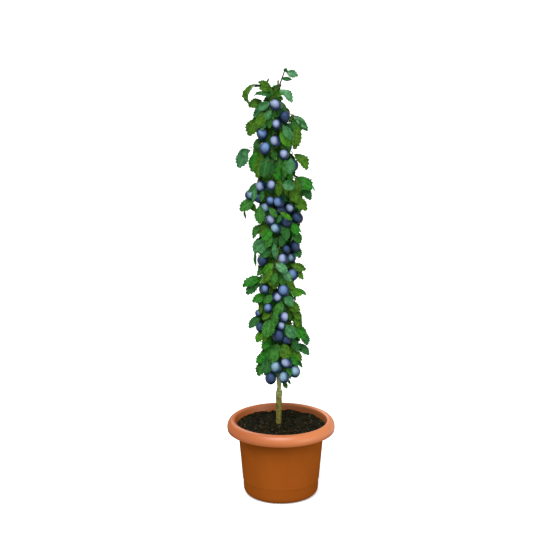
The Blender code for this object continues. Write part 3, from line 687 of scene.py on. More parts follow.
# How far the crown reaches left and right of the pot's axis at a height, from the photograph's outline
LEFT_OUTLINE = (
    (0.355, 0.030), (0.380, 0.046), (0.396, 0.054), (0.404, 0.076), (0.420, 0.080), (0.470, 0.070),
    (0.480, 0.062), (0.495, 0.056), (0.510, 0.076), (0.545, 0.077), (0.560, 0.080), (0.600, 0.082),
    (0.625, 0.071), (0.690, 0.116), (0.725, 0.078), (0.770, 0.074), (0.800, 0.088), (0.840, 0.092),
    (0.895, 0.072), (0.925, 0.074), (0.955, 0.076), (0.975, 0.104), (0.990, 0.106), (1.005, 0.098),
    (1.020, 0.080), (1.045, 0.074), (1.060, 0.090), (1.110, 0.090), (1.135, 0.086), (1.165, 0.071),
    (1.200, 0.098), (1.245, 0.084), (1.262, 0.090), (1.272, 0.052), (1.345, 0.045),
)
RIGHT_OUTLINE = (
    (0.355, 0.026), (0.385, 0.034), (0.400, 0.060), (0.480, 0.068), (0.530, 0.078), (0.545, 0.076),
    (0.560, 0.068), (0.575, 0.062), (0.590, 0.062), (0.625, 0.056), (0.650, 0.046), (0.668, 0.054),
    (0.682, 0.062), (0.700, 0.042), (0.714, 0.042), (0.740, 0.048), (0.760, 0.060), (0.768, 0.049),
    (0.784, 0.050), (0.796, 0.063), (0.860, 0.063), (0.900, 0.065), (0.930, 0.064), (0.945, 0.074),
    (0.972, 0.076), (0.985, 0.094), (1.010, 0.100), (1.035, 0.080), (1.045, 0.046), (1.095, 0.048),
    (1.125, 0.031), (1.145, 0.050), (1.160, 0.057), (1.180, 0.062), (1.195, 0.082), (1.225, 0.058),
    (1.242, 0.034), (1.255, 0.014), (1.268, 0.006), (1.300, 0.003), (1.318, -0.004), (1.372, -0.004),
)

Mass = namedtuple("Mass", "name foot height turn tier")
Knot = namedtuple("Knot", "point mass spray")


def bent(start, middle, stop, steps):
    """Points of a smooth bend from start to stop that is drawn towards middle."""
    shares = [i / steps for i in range(steps + 1)]
    return [start * (1 - t) ** 2 + middle * (2 * t * (1 - t)) + stop * t**2 for t in shares]


def arched(start, stop, lift, steps):
    """Points of a bend from start to stop, its middle drawn up towards this much over the straight line."""
    return bent(start, start.lerp(stop, 0.5) + UP * lift, stop, steps)


def tapering(first, last, count):
    return [first + (last - first) * i / (count - 1) for i in range(count)]


def tier_place(mass, turn, radius, share):
    """A point this share of the way up a mass's space. Its floor and ceiling fall outwards like shingles."""
    return place_at(turn, radius, mass.foot - TIER_DROOP * radius + mass.height * share)


def well_inside(point, margin):
    """Whether a point lies inside the crown's outline in the photograph by more than the margin."""
    flat = CAMERA_PLACE + (point - CAMERA_PLACE) * (CAMERA_PLACE.y / (CAMERA_PLACE.y - point.y))
    for z in (flat.z - margin, flat.z, flat.z + margin):
        if not margin - between(LEFT_OUTLINE, z) < flat.x < between(RIGHT_OUTLINE, z) - margin:
            return False
    return True


def twig_end(mass, turn, radius, share):
    """A place for a twig's end, nearer the trunk where it would leave the crown's outline."""
    while radius > 0.012 and not well_inside(tier_place(mass, turn, radius, share), TWIG_MARGIN):
        radius *= 0.9
    return tier_place(mass, turn, radius, share)


def add_twig(points, first, last, mass, spray):
    wood.add(*tube(points, tapering(first, last, len(points)), 6))
    for a, b in zip(points[1:], points[2:]):
        knots.append(Knot(a, mass, spray))
        knots.append(Knot(a.lerp(b, 0.5), mass, spray))
    knots.append(Knot(points[-1], mass, spray))


def nearest_knot(point, above=0.0, mass=None):
    """The place on the wood so far that a new twig or stalk would best leave from."""
    nearby = [knot for knot in knots if mass is None or knot.mass is mass]
    return min(nearby, key=lambda k: (k.point - point).length + 2.0 * max(point.z + above - k.point.z, 0.0))


knots = []
shoots = Bunch()
for height, turn, route in SHOOTS:
    root = place_at(turn, trunk_radius(height) * 0.5, height)
    points = [along([root, *route], i / SHOOT_STEPS) for i in range(SHOOT_STEPS + 1)]
    shoots.add(*tube(points, tapering(SHOOT_RADIUS, SHOOT_TIP_RADIUS, len(points)), 8))
    for i, point in enumerate(points[6:], 6):
        knots.append(Knot(point, None, 900 + turn + i // 4))

wood = Bunch()
masses = []
for tier, tier_turn in enumerate(TIER_TURNS):
    for i, letter in enumerate(MASSES_ROUND):
        turn = (tier_turn + 360.0 / len(MASSES_ROUND) * i + 180.0) % 360.0 - 180.0
        foot = CROWN_FOOT + TIER_HEIGHT * tier
        height = TIER_HEIGHT if tier < len(TIER_TURNS) - 1 else TOP_TIER_HEIGHT
        masses.append(Mass(f"foliage_{tier + 1}{letter}", foot, height, turn, tier))
for number, mass in enumerate(masses):
    chance = random.Random(100 + number)
    height = mass.foot + mass.height * STEM_ROOT_SHARE
    root = place_at(mass.turn, trunk_radius(height) * 0.6, height)
    ends = [twig_end(mass, mass.turn + aside, radius, share) for aside, radius, share in TWIG_ENDS]
    add_twig(arched(root, ends[0], TWIG_LIFT, 6), STEM_RADIUS, TWIG_RADIUS, mass, number * 10)
    for i, end in enumerate(ends[1:], 1):
        start = nearest_knot(end, 0.010, mass).point
        add_twig(arched(start, end, TWIG_LIFT, 4), TWIG_RADIUS, TWIG_TIP_RADIUS, mass, number * 10 + i)
    for i in range(FINER_TWIGS):
        turn = mass.turn + chance.uniform(-56, 56)
        end = twig_end(mass, turn, chance.uniform(0.034, 0.060), chance.uniform(0.15, 0.97))
        start = nearest_knot(end, 0.006, mass).point
        points = arched(start, end, chance.uniform(0.002, 0.010), 3)
        add_twig(points, TWIG_RADIUS * 0.8, TWIG_TIP_RADIUS, mass, number * 10 + 3 + i)

twig_bark = Finish("twig bark", Specular_IOR_Level=0.12)
blotches = twig_bark.grain(twig_bark.place(), 120.0, 3.0, 0.6)
twig_bark.feed(
    Base_Color=twig_bark.blend(blotches.rising(0.35, 0.65), (0.020, 0.014, 0.004), (0.055, 0.052, 0.012)),
    Roughness=blotches * 0.3 + 0.5,
    Normal=twig_bark.bump(blotches, 0.4, 0.0008),
)


# Plums. Egg-shaped blue plums of about four centimetres, in twos to sixes on short stalks close to the wood.
# Their dark navy skin wears a pale blue-lilac bloom, thickest in a patch on the side that faces out and a
# little up. The patch is partly real bloom and partly a painted highlight; round it the skin is left dark.
PLUM_RADIUS = 0.0163
PLUM_STRETCH = 1.12
PLUM_DIMPLE = 0.003
PLUM_SEAM_TURN = 0.9
PLUM_FRONT_SHARE = 4 / 18
PLUM_CLEARANCE = 0.93
PLUM_STALK = 0.010
PLUM_STALK_RADII = (0.0010, 0.0008, 0.0008, 0.0009, 0.0011)
SPUR_GAP = 0.026
SPUR_LIFT = 0.004
SPUR_RADIUS = 0.0014
SPUR_TIP_RADIUS = 0.0010
# How far up from the outer side the pale patch lies: partly real bloom, partly a painted highlight
BLOOM_HIGHLIGHT_RISE = math.radians(20.0)
# The plums that the photograph shows, from the top down: the pixel at each one's middle, its breadth in
# pixels, the degrees that its stalk's end leans to the right, and its shade
PLUM_SHADES = range(4)
BLUE, LILAC, NAVY, MISTY = PLUM_SHADES
PLUMS_SEEN = (
    (275.5, 105, 11, -50, LILAC), (284.7, 116.8, 10.8, 10, NAVY), (276.7, 124.3, 9.4, -10, LILAC),
    (262, 134, 11, -25, BLUE), (275.5, 141, 10.5, -30, LILAC), (264.8, 148.3, 11.6, 15, BLUE),
    (284, 154.5, 10, -20, LILAC), (292.9, 165.4, 11.4, 0, NAVY), (260.7, 186.3, 10.5, -30, LILAC),
    (270.7, 185.3, 9.8, 10, LILAC), (250, 194.5, 10.2, 38, MISTY), (258.5, 198, 9, 0, NAVY),
    (279, 202, 10.5, -30, BLUE), (270.5, 201, 9, -40, BLUE), (266, 207.5, 10.4, -35, MISTY),
    (289, 208, 10, 0, LILAC), (297.3, 217.7, 11.5, -40, NAVY), (270.3, 220, 9.8, -20, LILAC),
    (276, 228, 10.4, -40, MISTY), (286, 222, 11, -50, NAVY), (281, 210, 10, 0, NAVY),
    (294.5, 246.7, 11, -20, NAVY), (286, 249.5, 8.5, 0, NAVY), (262.5, 260.3, 11, 0, NAVY),
    (283, 259, 10.5, -10, LILAC), (291.5, 257.5, 9, -40, MISTY), (293, 274.3, 11, -20, BLUE),
    (264.8, 288.8, 8.5, 0, BLUE), (283.5, 290.3, 11.8, -15, BLUE), (276.8, 296.7, 10.4, 30, LILAC),
    (268.3, 308, 9, 10, BLUE), (258.2, 313, 6.6, 0, BLUE), (283.4, 317, 10.4, 0, LILAC),
    (281, 326, 8.6, 0, LILAC), (278, 335.5, 12, 10, NAVY), (286.5, 340, 9, -50, NAVY),
    (260.5, 327, 9.8, 0, NAVY), (286.5, 362.5, 10.6, -60, LILAC), (276.3, 367, 11.5, 0, MISTY),
    (294.4, 371.3, 11.9, -20, MISTY), (270.7, 378.2, 11.4, 0, NAVY), (284, 377.3, 11, 0, MISTY),
)
# Such a plum hangs on a circle of this radius about the trunk, but at least this far in front of it
PLUM_REACH = 0.056
PLUM_LEAST_REACH = 0.018
# Where the trunk and the sky show between the leaves
TRUNK_SEEN = ((274, 163), (274, 172))
SKY_SEEN = (
    (257, 205), (289, 124), (294, 151), (262, 221), (293, 178), (277, 158), (260, 274), (260, 286.5),
    (257.3, 291.5), (300, 342), (291.5, 114), (291, 322), (303, 197), (257, 256), (297, 261),
    (257.3, 236.3), (274.8, 83),
)
PLUM_OPEN_PIXELS = 4.1
TRUNK_OPEN_PIXELS = 1.4
SKY_OPEN_PIXELS = 2.2
# Out of the photograph's sight: how many plums hang on a mass, and where they may
PLUMS_A_HIDDEN_MASS = 5
HIDDEN_TURN = 100
HIDDEN_Y = 0.014
HIDDEN_FOOT, HIDDEN_TOP = 0.42, 1.26

bpy.ops.mesh.primitive_uv_sphere_add(segments=18, ring_count=11, radius=1.0)
bpy.ops.transform.resize(value=(1, 1, PLUM_STRETCH))
bpy.ops.object.transform_apply(location=False, rotation=False, scale=True)
plum_corners, plum_faces, plum_places = shape_of(bpy.context.object)
# The stalk's dimple, the seam down one side and the faint point at the foot
for corner in plum_corners:
    side = math.hypot(corner[0], corner[1])
    corner[2] -= 0.13 * hump(side / 0.22) if corner[2] > 0 else 0.05 * hump(side / 0.18)
    seam = hump((math.atan2(corner[0], -corner[1]) - PLUM_SEAM_TURN) / 0.20) * side
    corner[:2] *= 1.0 - 0.045 * seam

plums = Bunch()
stalks = Bunch()
plum_middles = []
plum_radii = []
seen_pixels = []
side_plums = []
side_plum_ways = []


def hang_plum(middle, radius, facing, shade, lean=None, mass=None):
    """A plum with its stalk, from a spur where the wood is far off. Its pale patch, waxy coat and painted
    highlight together, faces this turn.
    """
    knot = nearest_knot(middle, radius * 1.5, mass)
    if lean is None:
        axis = ((knot.point - middle).normalized() + UP * 1.6).normalized()
    else:
        axis = Vector((math.sin(math.radians(lean)), 0.1, math.cos(math.radians(lean)))).normalized()
    crown = middle + axis * (radius * PLUM_STRETCH - PLUM_DIMPLE)
    start = knot.point
    if (start - crown).length > SPUR_GAP:
        spur_end = crown + axis * PLUM_STALK + (start - crown).normalized() * PLUM_STALK
        add_twig(arched(start, spur_end, SPUR_LIFT, 3), SPUR_RADIUS, SPUR_TIP_RADIUS, knot.mass, knot.spray)
        start = spur_end
    points = bent(start, crown + axis * PLUM_STALK, crown, 4)
    stalks.add(*tube(points, PLUM_STALK_RADII, 5), 1)
    upright = turned(plum_corners, (0, 0, math.radians(facing)))
    leaning = UP.rotation_difference(axis)
    corners = [middle + leaning @ Vector(corner * radius) for corner in upright]
    plums.add(corners, plum_faces, shade, plum_places)
    plum_middles.append(middle)
    plum_radii.append(radius)


def clear_of_plums(point, radius, share):
    """Whether a plum fits here, this share of the distance at which two plums touch being enough."""
    others = zip(plum_middles, plum_radii)
    return all((point - other).length > (radius + size) * share for other, size in others)


chance = random.Random(77)
for x, y, breadth, lean, shade in PLUMS_SEEN:
    aside = seen_at(x, y, 0.03).x - trunk_centre(seen_at(x, y, 0.0).z).x
    toward = math.sqrt(max(PLUM_REACH**2 - aside**2, PLUM_LEAST_REACH**2))
    middle = seen_at(x, y, toward)
    radius = breadth / 2 * (middle - CAMERA_PLACE).length / FOCAL_PIXELS
    while not clear_of_plums(middle, radius, PLUM_CLEARANCE) and toward > -0.03:
        toward -= 0.002
        middle = seen_at(x, y, toward)
    # The pale patch, partly a painted highlight, faces the front give or take 25 degrees
    hang_plum(middle, radius, chance.uniform(-25, 25), shade, lean)
    seen_pixels.append((x, y, (middle - CAMERA_PLACE).length, PLUM_OPEN_PIXELS))
for x, y in TRUNK_SEEN:
    seen_pixels.append((x, y, (seen_at(x, y, 0.0) - CAMERA_PLACE).length, TRUNK_OPEN_PIXELS))
for x, y in SKY_SEEN:
    seen_pixels.append((x, y, math.inf, SKY_OPEN_PIXELS))

for number, mass in enumerate(masses):
    if abs(mass.turn) < HIDDEN_TURN:
        continue
    chance = random.Random(300 + number)
    hung = 0
    cluster = mass.turn + chance.uniform(-12, 12)
    for attempt in range(150):
        if hung == PLUMS_A_HIDDEN_MASS:
            break
        turn = cluster + chance.uniform(-34, 34)
        middle = tier_place(mass, turn, chance.uniform(0.040, 0.056), chance.uniform(0.2, 0.75))
        radius = PLUM_RADIUS * chance.uniform(0.90, 1.10)
        hidden = middle.y > HIDDEN_Y and well_inside(middle, PLUM_RADIUS)
        if hidden and clear_of_plums(middle, radius, 1.0) and HIDDEN_FOOT < middle.z < HIDDEN_TOP:
            hang_plum(middle, radius, turn, chance.choices(PLUM_SHADES, (4, 3, 4, 2))[0], None, mass)
            hung += 1
            if chance.random() < 0.75:
                side_plums.append(middle)
                side_plum_ways.append(outward(turn))


def plum_skin(name, deep, bloom_and_highlight, cover):
    """Dark skin under a pale waxy coat that lies in a patch on the outer side, a little up: partly the real
    coat and partly a painted highlight, which leaves the plum's rim dark as painted shade. Cover makes the
    patch larger.
    """
    made = Finish(name, Specular_IOR_Level=0.13)
    place, surface = made.place(), made.place("UV")
    around, over = made.part(surface, "X"), made.part(surface, "Y")
    outer = ((around - PLUM_FRONT_SHARE) * math.tau).math("COSINE") * (over * math.pi).math("SINE")
    upper = (over * math.pi).math("COSINE") * -math.sin(BLOOM_HIGHLIGHT_RISE)
    cloud = made.grain(place, 55.0, 3.0, 0.6)
    dots = made.grain(place, 900.0, 2.0, 0.5)
    # Where the skin faces out and a little up it takes the pale colour: real bloom and painted highlight
    # together
    share = (outer * math.cos(BLOOM_HIGHLIGHT_RISE) + upper + cloud * 0.5).rising(0.70 - cover, 1.56 - cover)
    made.feed(
        Base_Color=made.blend(share * (dots * 0.5 + 0.75), deep, bloom_and_highlight),
        Roughness=share * 0.25 + 0.36,
        Normal=made.bump(cloud, 0.1, 0.0006),
    )
    return made


plum_skins = [
    plum_skin("blue plum skin", (0.0009, 0.0082, 0.0260), (0.085, 0.148, 0.290), 0.02),
    plum_skin("lilac plum skin", (0.0012, 0.0082, 0.0280), (0.185, 0.225, 0.345), 0.03),
    plum_skin("navy plum skin", (0.0006, 0.0055, 0.0160), (0.014, 0.030, 0.080), 0.00),
    plum_skin("misty plum skin", (0.0010, 0.0115, 0.0270), (0.145, 0.235, 0.310), 0.03),
]


# Leaves. Broad egg-shaped plum leaves with toothed edges, five to seven centimetres long, on short stalks.
# They hang outwards in sprays along the twigs, mid to dark green with a waxy blue sheen, some yellower.
LEAF_LENGTH = 0.058
LEAF_ROWS = 14
LEAF_COLUMNS = 4
LEAF_TOOTH = 0.09
LEAF_BREADTHS = (
    (0.0, 0.03), (0.08, 0.30), (0.2, 0.62), (0.35, 0.88), (0.5, 1.0), (0.62, 0.97), (0.75, 0.80),
    (0.87, 0.50), (0.95, 0.24), (1.0, 0.02),
)
LEAVES_A_MASS = 44
# The least radius of a leaf's middle and the greatest of its tip, which waves round the trunk
LEAF_NEAREST = 0.018
LEAF_FARTHEST = 0.092
LEAF_FARTHEST_WAVE = 0.030
LEAF_TRIES = 1800
LEAF_STALK_RADII = (0.0011, 0.0008, 0.0007, 0.0006)
# A leaf farther than this from the wood hangs on a twig of its own, which ends this near to it
LEAF_TWIG_GAP = 0.024
LEAF_STALK_GAP = 0.016
# How close two leaves may be: between their middles, and beside and through the plane of a blade
LEAF_SPACING = 0.013
LEAF_BESIDE = 0.021
LEAF_LAYER = 0.005
PLUM_BERTH = 1.08
SIDE_PLUM_OPEN = 0.013
SEEN_FOLD = 0.34
SEEN_RIPPLE = 0.17
LEAF_OPEN_PIXELS = 2.6
# Where the crown is searched for gaps that let the sky through, in pixels, and how far inside its outline
GAP_ROWS = range(92, 376)
GAP_COLUMNS = range(244, 312)
GAP_MARGIN = 0.006
GAP_SPACING = 3.6
GAP_SKY = 3.4
GAP_DEPTH = 0.004
GAP_LEAF_BREADTH = 0.62
GAP_LEAF_SIZES = (0.42, 0.30, 0.20)
GAP_PLANES = (0.020, 0.010, 0.0, -0.012, -0.024, -0.036)
# Leaves that the photograph shows: the pixels at the blade's foot and tip, its breadth in hundredths of its
# length, the millimetres that it hangs in front of the pot's axis and its green. Then come its bend in
# tenths and the degrees that it is turned about its own length, where they aren't 4 and 0.
LEAF_CURL = [4, 0]
LEAF_SHADES = range(7)
MID, DARK, BLUISH, FRESH, OLIVE, LUSH, TEAL = LEAF_SHADES
LEAVES_SEEN = (
    # The tuft at the top
    (286, 72, 298, 76, 66, 8, BLUISH, 3), (281, 78.5, 292, 79.5, 42, 10, DARK, 3, 5),
    (285, 72, 286.5, 68, 95, 6, DARK, 3), (279.3, 90, 292, 102.6, 58, 30, BLUISH, 11, -30),
    (276, 96, 283, 93, 55, 34, FRESH), (276, 95, 283.3, 100, 50, 26, MID),
    (273, 99, 271, 89, 40, 20, MID, 4, 20), (276, 97, 276, 87, 38, 12, OLIVE, 3, -10),
    (257.4, 84.7, 250.8, 105, 40, 12, OLIVE, 26, 50), (262, 100.6, 248.5, 106.8, 66, 18, OLIVE, 5, 5),
    (269, 102, 253.6, 97.2, 34, 30, DARK, 28, 45), (271, 87, 258, 82, 50, 12, OLIVE, 5, 10),
    (272, 89, 259, 88.5, 56, 18, OLIVE, 5), (270, 91, 262, 92, 45, 10, MID, 5),
    (271, 91, 267, 101, 44, 22, DARK), (266, 84, 269, 78, 32, 6, DARK, 3, 20),
    (279, 101, 286.5, 111.5, 44, 26, TEAL), (283.5, 106.5, 290, 114, 42, 14, DARK),
    # The top tier
    (270, 102, 258, 110, 55, 45, TEAL, 5), (265, 107, 253.4, 116.4, 62, 36, TEAL, 5, -10),
    (262, 104, 256, 109, 50, 30, MID), (271, 110, 265, 120, 60, 55, TEAL, 5),
    (265, 112, 257.3, 127.8, 62, 50, OLIVE, 5), (256, 118, 248.9, 136, 68, 12, OLIVE, 4, 5),
    (271, 112, 269, 128, 55, 48, MID), (283, 111, 271, 116, 55, 40, MID, 5),
    (279, 129, 271, 134, 45, 30, DARK, 5), (283, 125, 292, 140, 50, 58, TEAL, 5),
    (280, 131, 290, 147, 48, 48, FRESH, 4, 10), (293.7, 118, 299.3, 134, 62, 22, MID),
    (297.8, 124.5, 294.3, 149.6, 42, 32, OLIVE, 5, -10), (294, 115.5, 307, 128, 42, 18, BLUISH, 5),
    (299, 120, 307.5, 131, 50, 26, DARK),
    # The seventh tier
    (281, 143, 289, 156, 55, 36, MID), (263, 138, 254, 149, 60, 16, DARK, 5, 10),
    (272, 148, 275.5, 160.5, 50, 34, MID), (281, 151, 279.5, 162, 46, 16, MID),
    (256, 151, 252, 172, 46, 26, LUSH, 4, 10), (262, 153, 257, 178, 44, 36, OLIVE),
    (246.6, 149.3, 238.4, 167.8, 64, 6, TEAL, 3), (294.2, 154.2, 307.1, 169.9, 60, 10, OLIVE, 11, -30),
    (268, 156, 263, 177, 52, 46, DARK), (272, 158, 269, 178, 42, 38, DARK),
    (281, 158, 277, 171, 55, 34, MID), (291, 158, 290, 174, 62, 80, TEAL),
    (286, 159, 285, 177, 42, 50, MID), (277, 166, 278, 182, 52, 40, LUSH),
    (292, 171, 289, 182, 50, 34, LUSH),
    # The sixth tier
    (282, 184, 295, 187, 78, 62, TEAL, 5), (280, 178, 278, 197, 40, 42, OLIVE),
    (296, 178, 298, 194, 55, 36, OLIVE), (290, 188, 298, 203, 58, 46, OLIVE),
    (296.5, 179.5, 312, 189.5, 74, 20, LUSH, 8, -20), (297, 180, 303, 190, 60, 30, TEAL),
    (303.7, 187, 310.7, 200, 60, 16, DARK), (308, 181, 315, 192, 20, 12, BLUISH, 6, -30),
    (294, 196, 306.7, 210.5, 56, 30, OLIVE, 5), (255.5, 188, 253, 201, 46, 78, TEAL),
    (257.3, 182.2, 248.4, 192.3, 36, 24, DARK), (263, 190, 261, 202, 40, 50, DARK, 3),
    (253.7, 200.4, 240.2, 211, 67, 18, MID, 8, 10), (250.6, 202, 255, 211.6, 60, 14, OLIVE),
    (244.2, 209, 246.3, 219.3, 27, 12, OLIVE, 5, 30), (259.6, 205.5, 259.9, 224, 60, 44, MID),
    (269, 208, 277, 217, 50, 66, MID, 5), (280, 212, 292, 220, 36, 70, FRESH, 6),
    (283, 213, 277, 223, 36, 60, DARK, 5),
    # The fifth tier
    (282, 223, 283, 235, 50, 40, MID), (287, 226, 286, 241, 50, 44, DARK),
    (292.5, 223, 298, 235, 70, 36, LUSH), (294, 230, 300.3, 243.5, 62, 26, MID),
    (297, 226, 302, 233, 20, 10, BLUISH, 3, 20), (264, 224, 253.7, 239, 46, 18, MID, 14, 40),
    (270, 225, 259, 234, 60, 40, OLIVE, 5), (272, 229, 262, 241, 60, 50, LUSH),
    (266.5, 240, 254, 252, 80, 46, TEAL, 5), (272, 236, 266, 248, 50, 56, MID),
    (277, 237, 272, 250, 48, 44, DARK), (284, 232, 281, 247, 50, 40, DARK),
    (274, 243, 276, 259, 40, 56, TEAL), (272, 249, 260, 257, 55, 50, DARK, 5),
    (295.5, 245, 299.8, 258, 60, 14, DARK), (255.6, 249.5, 256.2, 267, 24, 10, DARK, 3, 40),
    # The fourth tier
    (276, 263, 287, 272, 62, 76, BLUISH, 6), (283, 270, 291, 281, 55, 70, BLUISH, 5),
    (290.5, 264.4, 306, 269.8, 52, 16, OLIVE, 5), (295, 267, 303.3, 279.5, 46, 12, OLIVE, 6, 10),
    (267.5, 264.5, 257, 275.5, 48, 26, MID, 5), (273, 263, 264, 273, 60, 46, FRESH, 5),
    (272, 270, 265, 282, 55, 56, OLIVE, 5), (276, 272, 273, 285, 55, 64, MID),
    (279, 272, 284, 286, 50, 52, MID), (285.5, 278, 295, 290.4, 46, 26, OLIVE, 5),
    (262, 278.3, 242.7, 287, 50, 12, LUSH, 10, 28), (258.8, 279, 246.6, 294.5, 54, 18, DARK),
    (289, 289.3, 302, 294.8, 66, 30, FRESH, 5), (296, 288.3, 306.5, 295.3, 36, 14, MID, 6, -20),
    # The third tier
    (265.5, 294, 252.3, 302, 60, 26, LUSH, 5), (273, 295, 264, 303, 60, 44, MID, 5),
    (284, 295, 293, 306, 62, 50, TEAL, 5), (287, 302, 300, 311, 62, 36, OLIVE, 5),
    (282, 301, 276, 316, 58, 44, MID), (292.5, 308, 301.3, 320, 52, 30, OLIVE),
    (295.5, 313, 300.2, 329, 50, 24, OLIVE), (272, 312, 262, 319, 50, 46, OLIVE, 5),
    (260.5, 301, 260.5, 314, 34, 22, OLIVE, 3), (260.5, 315.3, 249, 328.3, 52, 12, DARK, 5, 10),
    # The second tier
    (271, 319, 266, 337, 72, 74, MID, 5), (263, 330, 256.5, 342.5, 62, 18, FRESH),
    (269, 332, 263, 342, 55, 36, OLIVE), (271.5, 338, 261.7, 348.7, 60, 30, LUSH, 5),
    (286, 325, 295, 338, 72, 62, TEAL, 5), (297, 323.7, 304.2, 340, 64, 26, LUSH),
    (300.6, 331, 307.2, 345.3, 60, 12, DARK, 8, -25), (299, 343, 309, 355, 52, 10, DARK),
    (293, 338, 298, 352, 52, 30, DARK),
    # The lowest tier
    (284, 343, 287, 360, 68, 50, OLIVE, 5), (278, 343, 274, 358, 58, 46, MID, 5),
    (292, 348, 301.5, 361, 50, 22, OLIVE), (291, 353, 297, 366, 50, 34, LUSH),
    (296, 357, 302.5, 367.7, 36, 16, DARK, 4, 10), (268.5, 351.3, 256.3, 363, 54, 28, LUSH, 5),
    (265.3, 359, 258.2, 376, 56, 18, MID, 4, 10), (268, 355, 266, 376, 50, 32, DARK),
    (276, 347, 272, 363, 60, 56, MID), (287, 366, 291, 376, 50, 44, MID), (281, 360, 286, 375, 80, 0, DARK),
    (272, 362, 277, 377, 80, 0, DARK), (283.5, 380.5, 287, 388.5, 58, 4, OLIVE, 4, 10),
    (286.5, 378, 290.5, 384.5, 40, 2, DARK, 4, -20),
    # Behind two of the leaves that stand out
    (250.6, 150.4, 237.6, 154.6, 60, 3, TEAL, 3), (296, 177.5, 309, 181, 40, 16, MID, 5),
    (262.5, 86.3, 251.5, 86.2, 20, 10, DARK, 3),
)

bpy.ops.mesh.primitive_grid_add(x_subdivisions=LEAF_COLUMNS, y_subdivisions=LEAF_ROWS, size=2.0)
bpy.ops.object.mode_set(mode="EDIT")
bpy.ops.transform.resize(value=(1, 0.5, 1))
bpy.ops.transform.translate(value=(0, 0.5, 0))
bpy.ops.object.mode_set(mode="OBJECT")
leaf_corners, leaf_faces, leaf_places = shape_of(bpy.context.object)
leaf_along = leaf_corners[:, 1].copy()
leaf_across = leaf_corners[:, 0].copy()
for i, (across, share, _) in enumerate(leaf_corners):
    row = round(share * LEAF_ROWS)
    breadth = between(LEAF_BREADTHS, share)
    if abs(across) > 0.9 and 0 < row < LEAF_ROWS:
        breadth += LEAF_TOOTH * (1 if row % 2 else -1)
        leaf_along[i] += 0.022 if row % 2 else -0.018
    leaf_across[i] = across * breadth
probe = [i for i, share in enumerate(leaf_corners[:, 1]) if round(share * LEAF_ROWS) % 3 == 1]

leaves = [Bunch() for _ in TIER_TURNS]
leaf_middles = []
leaf_faces_out = []


def leaf_shape(base, way, facing, length, breadth, bend, fold, ripple, phase):
    """A leaf's corners: drawn along an arc, folded up about its midrib, its edges rippled."""
    across = way.cross(facing).normalized()
    up = across.cross(way).normalized()
    u, v = leaf_along, leaf_across
    lift_out, lift_up = np.sin(bend * u), np.cos(bend * u)
    run = length / bend * lift_out
    drop = length / bend * (1.0 - lift_up)
    rise = fold * np.abs(v) * breadth + ripple * breadth * np.sin(u * 11.0 + phase) * v**2
    corners = np.array(base)[None, :] + np.outer(run + rise * lift_out, way)
    corners += np.outer(v * breadth, across) + np.outer(rise * lift_up - drop, up)
    return corners, up


def outline_allows(corners):
    """Whether a leaf stays inside the crown's outline as the photograph shows it."""
    eye = np.array(CAMERA_PLACE)
    share = eye[1] / (eye[1] - corners[:, 1])
    for x, _, z in eye + (corners - eye) * share[:, None]:
        if z < LEFT_OUTLINE[0][0] or not -between(LEFT_OUTLINE, z) <= x <= between(RIGHT_OUTLINE, z):
            return False
    return True


def hides_seen(corners):
    """Whether a leaf hangs in front of a plum, leaf, bit of trunk or sky that the photograph shows."""
    at = pixels_of(corners)
    for x, y, far, open_pixels in seen_pixels:
        near = (at[:, 0] - x) ** 2 + (at[:, 1] - y) ** 2 < open_pixels**2
        if near.any() and (at[near, 2] < far).any():
            return True
    return False


def covers_side_plum(corners):
    """Whether a leaf hangs right in front of a plum of the crown's sides or back, seen from outside."""
    offsets = corners[:, None, :] - np.array(side_plums)[None, :, :]
    away = np.array(side_plum_ways)[None, :, :]
    out = (offsets * away).sum(axis=2)
    beside = np.linalg.norm(offsets - away * out[:, :, None], axis=2)
    return ((out > 0) & (beside < SIDE_PLUM_OPEN)).any()


def in_plum(corners):
    gaps = np.linalg.norm(corners[:, None, :] - np.array(plum_middles)[None, :, :], axis=2)
    return (gaps < np.array(plum_radii)[None, :] * PLUM_BERTH).any()


def crowds(middle, up):
    """Whether a leaf would lie in or on another one."""
    offsets = np.array(leaf_middles) - np.array(middle)
    gaps = np.linalg.norm(offsets, axis=1)
    through = np.abs((offsets * np.array(leaf_faces_out)).sum(axis=1))
    beside = np.sqrt(np.maximum(gaps**2 - through**2, 0.0))
    return ((gaps < LEAF_SPACING) | ((beside < LEAF_BESIDE) & (through < LEAF_LAYER))).any()


def tier_of(height):
    return min(max(int((height + 0.04 - CROWN_FOOT) / TIER_HEIGHT), 0), len(TIER_TURNS) - 1)


def add_leaf(start, base, way, up, corners, shade):
    """A leaf and its stalk, from its start on the wood to the blade's foot."""
    middle = base - way * (base - start).length * 0.45 + UP * 0.002
    stalks.add(*tube(bent(start, middle, base + way * 0.004, 3), LEAF_STALK_RADII, 4), 0)
    leaves[tier_of(base.z)].add(corners, leaf_faces, shade, leaf_places)
    leaf_middles.append(corners.mean(axis=0))
    leaf_faces_out.append(np.array(up))


def leaf_shade(spray, chance):
    """The spray's own green, and now and then its neighbour's."""
    own = random.Random(spray * 7 + 1).choices(LEAF_SHADES, (5, 4, 1, 2, 4, 3, 3))[0]
    return own if chance.random() < 0.6 else chance.choices(LEAF_SHADES, (5, 5, 1, 2, 4, 3, 3))[0]


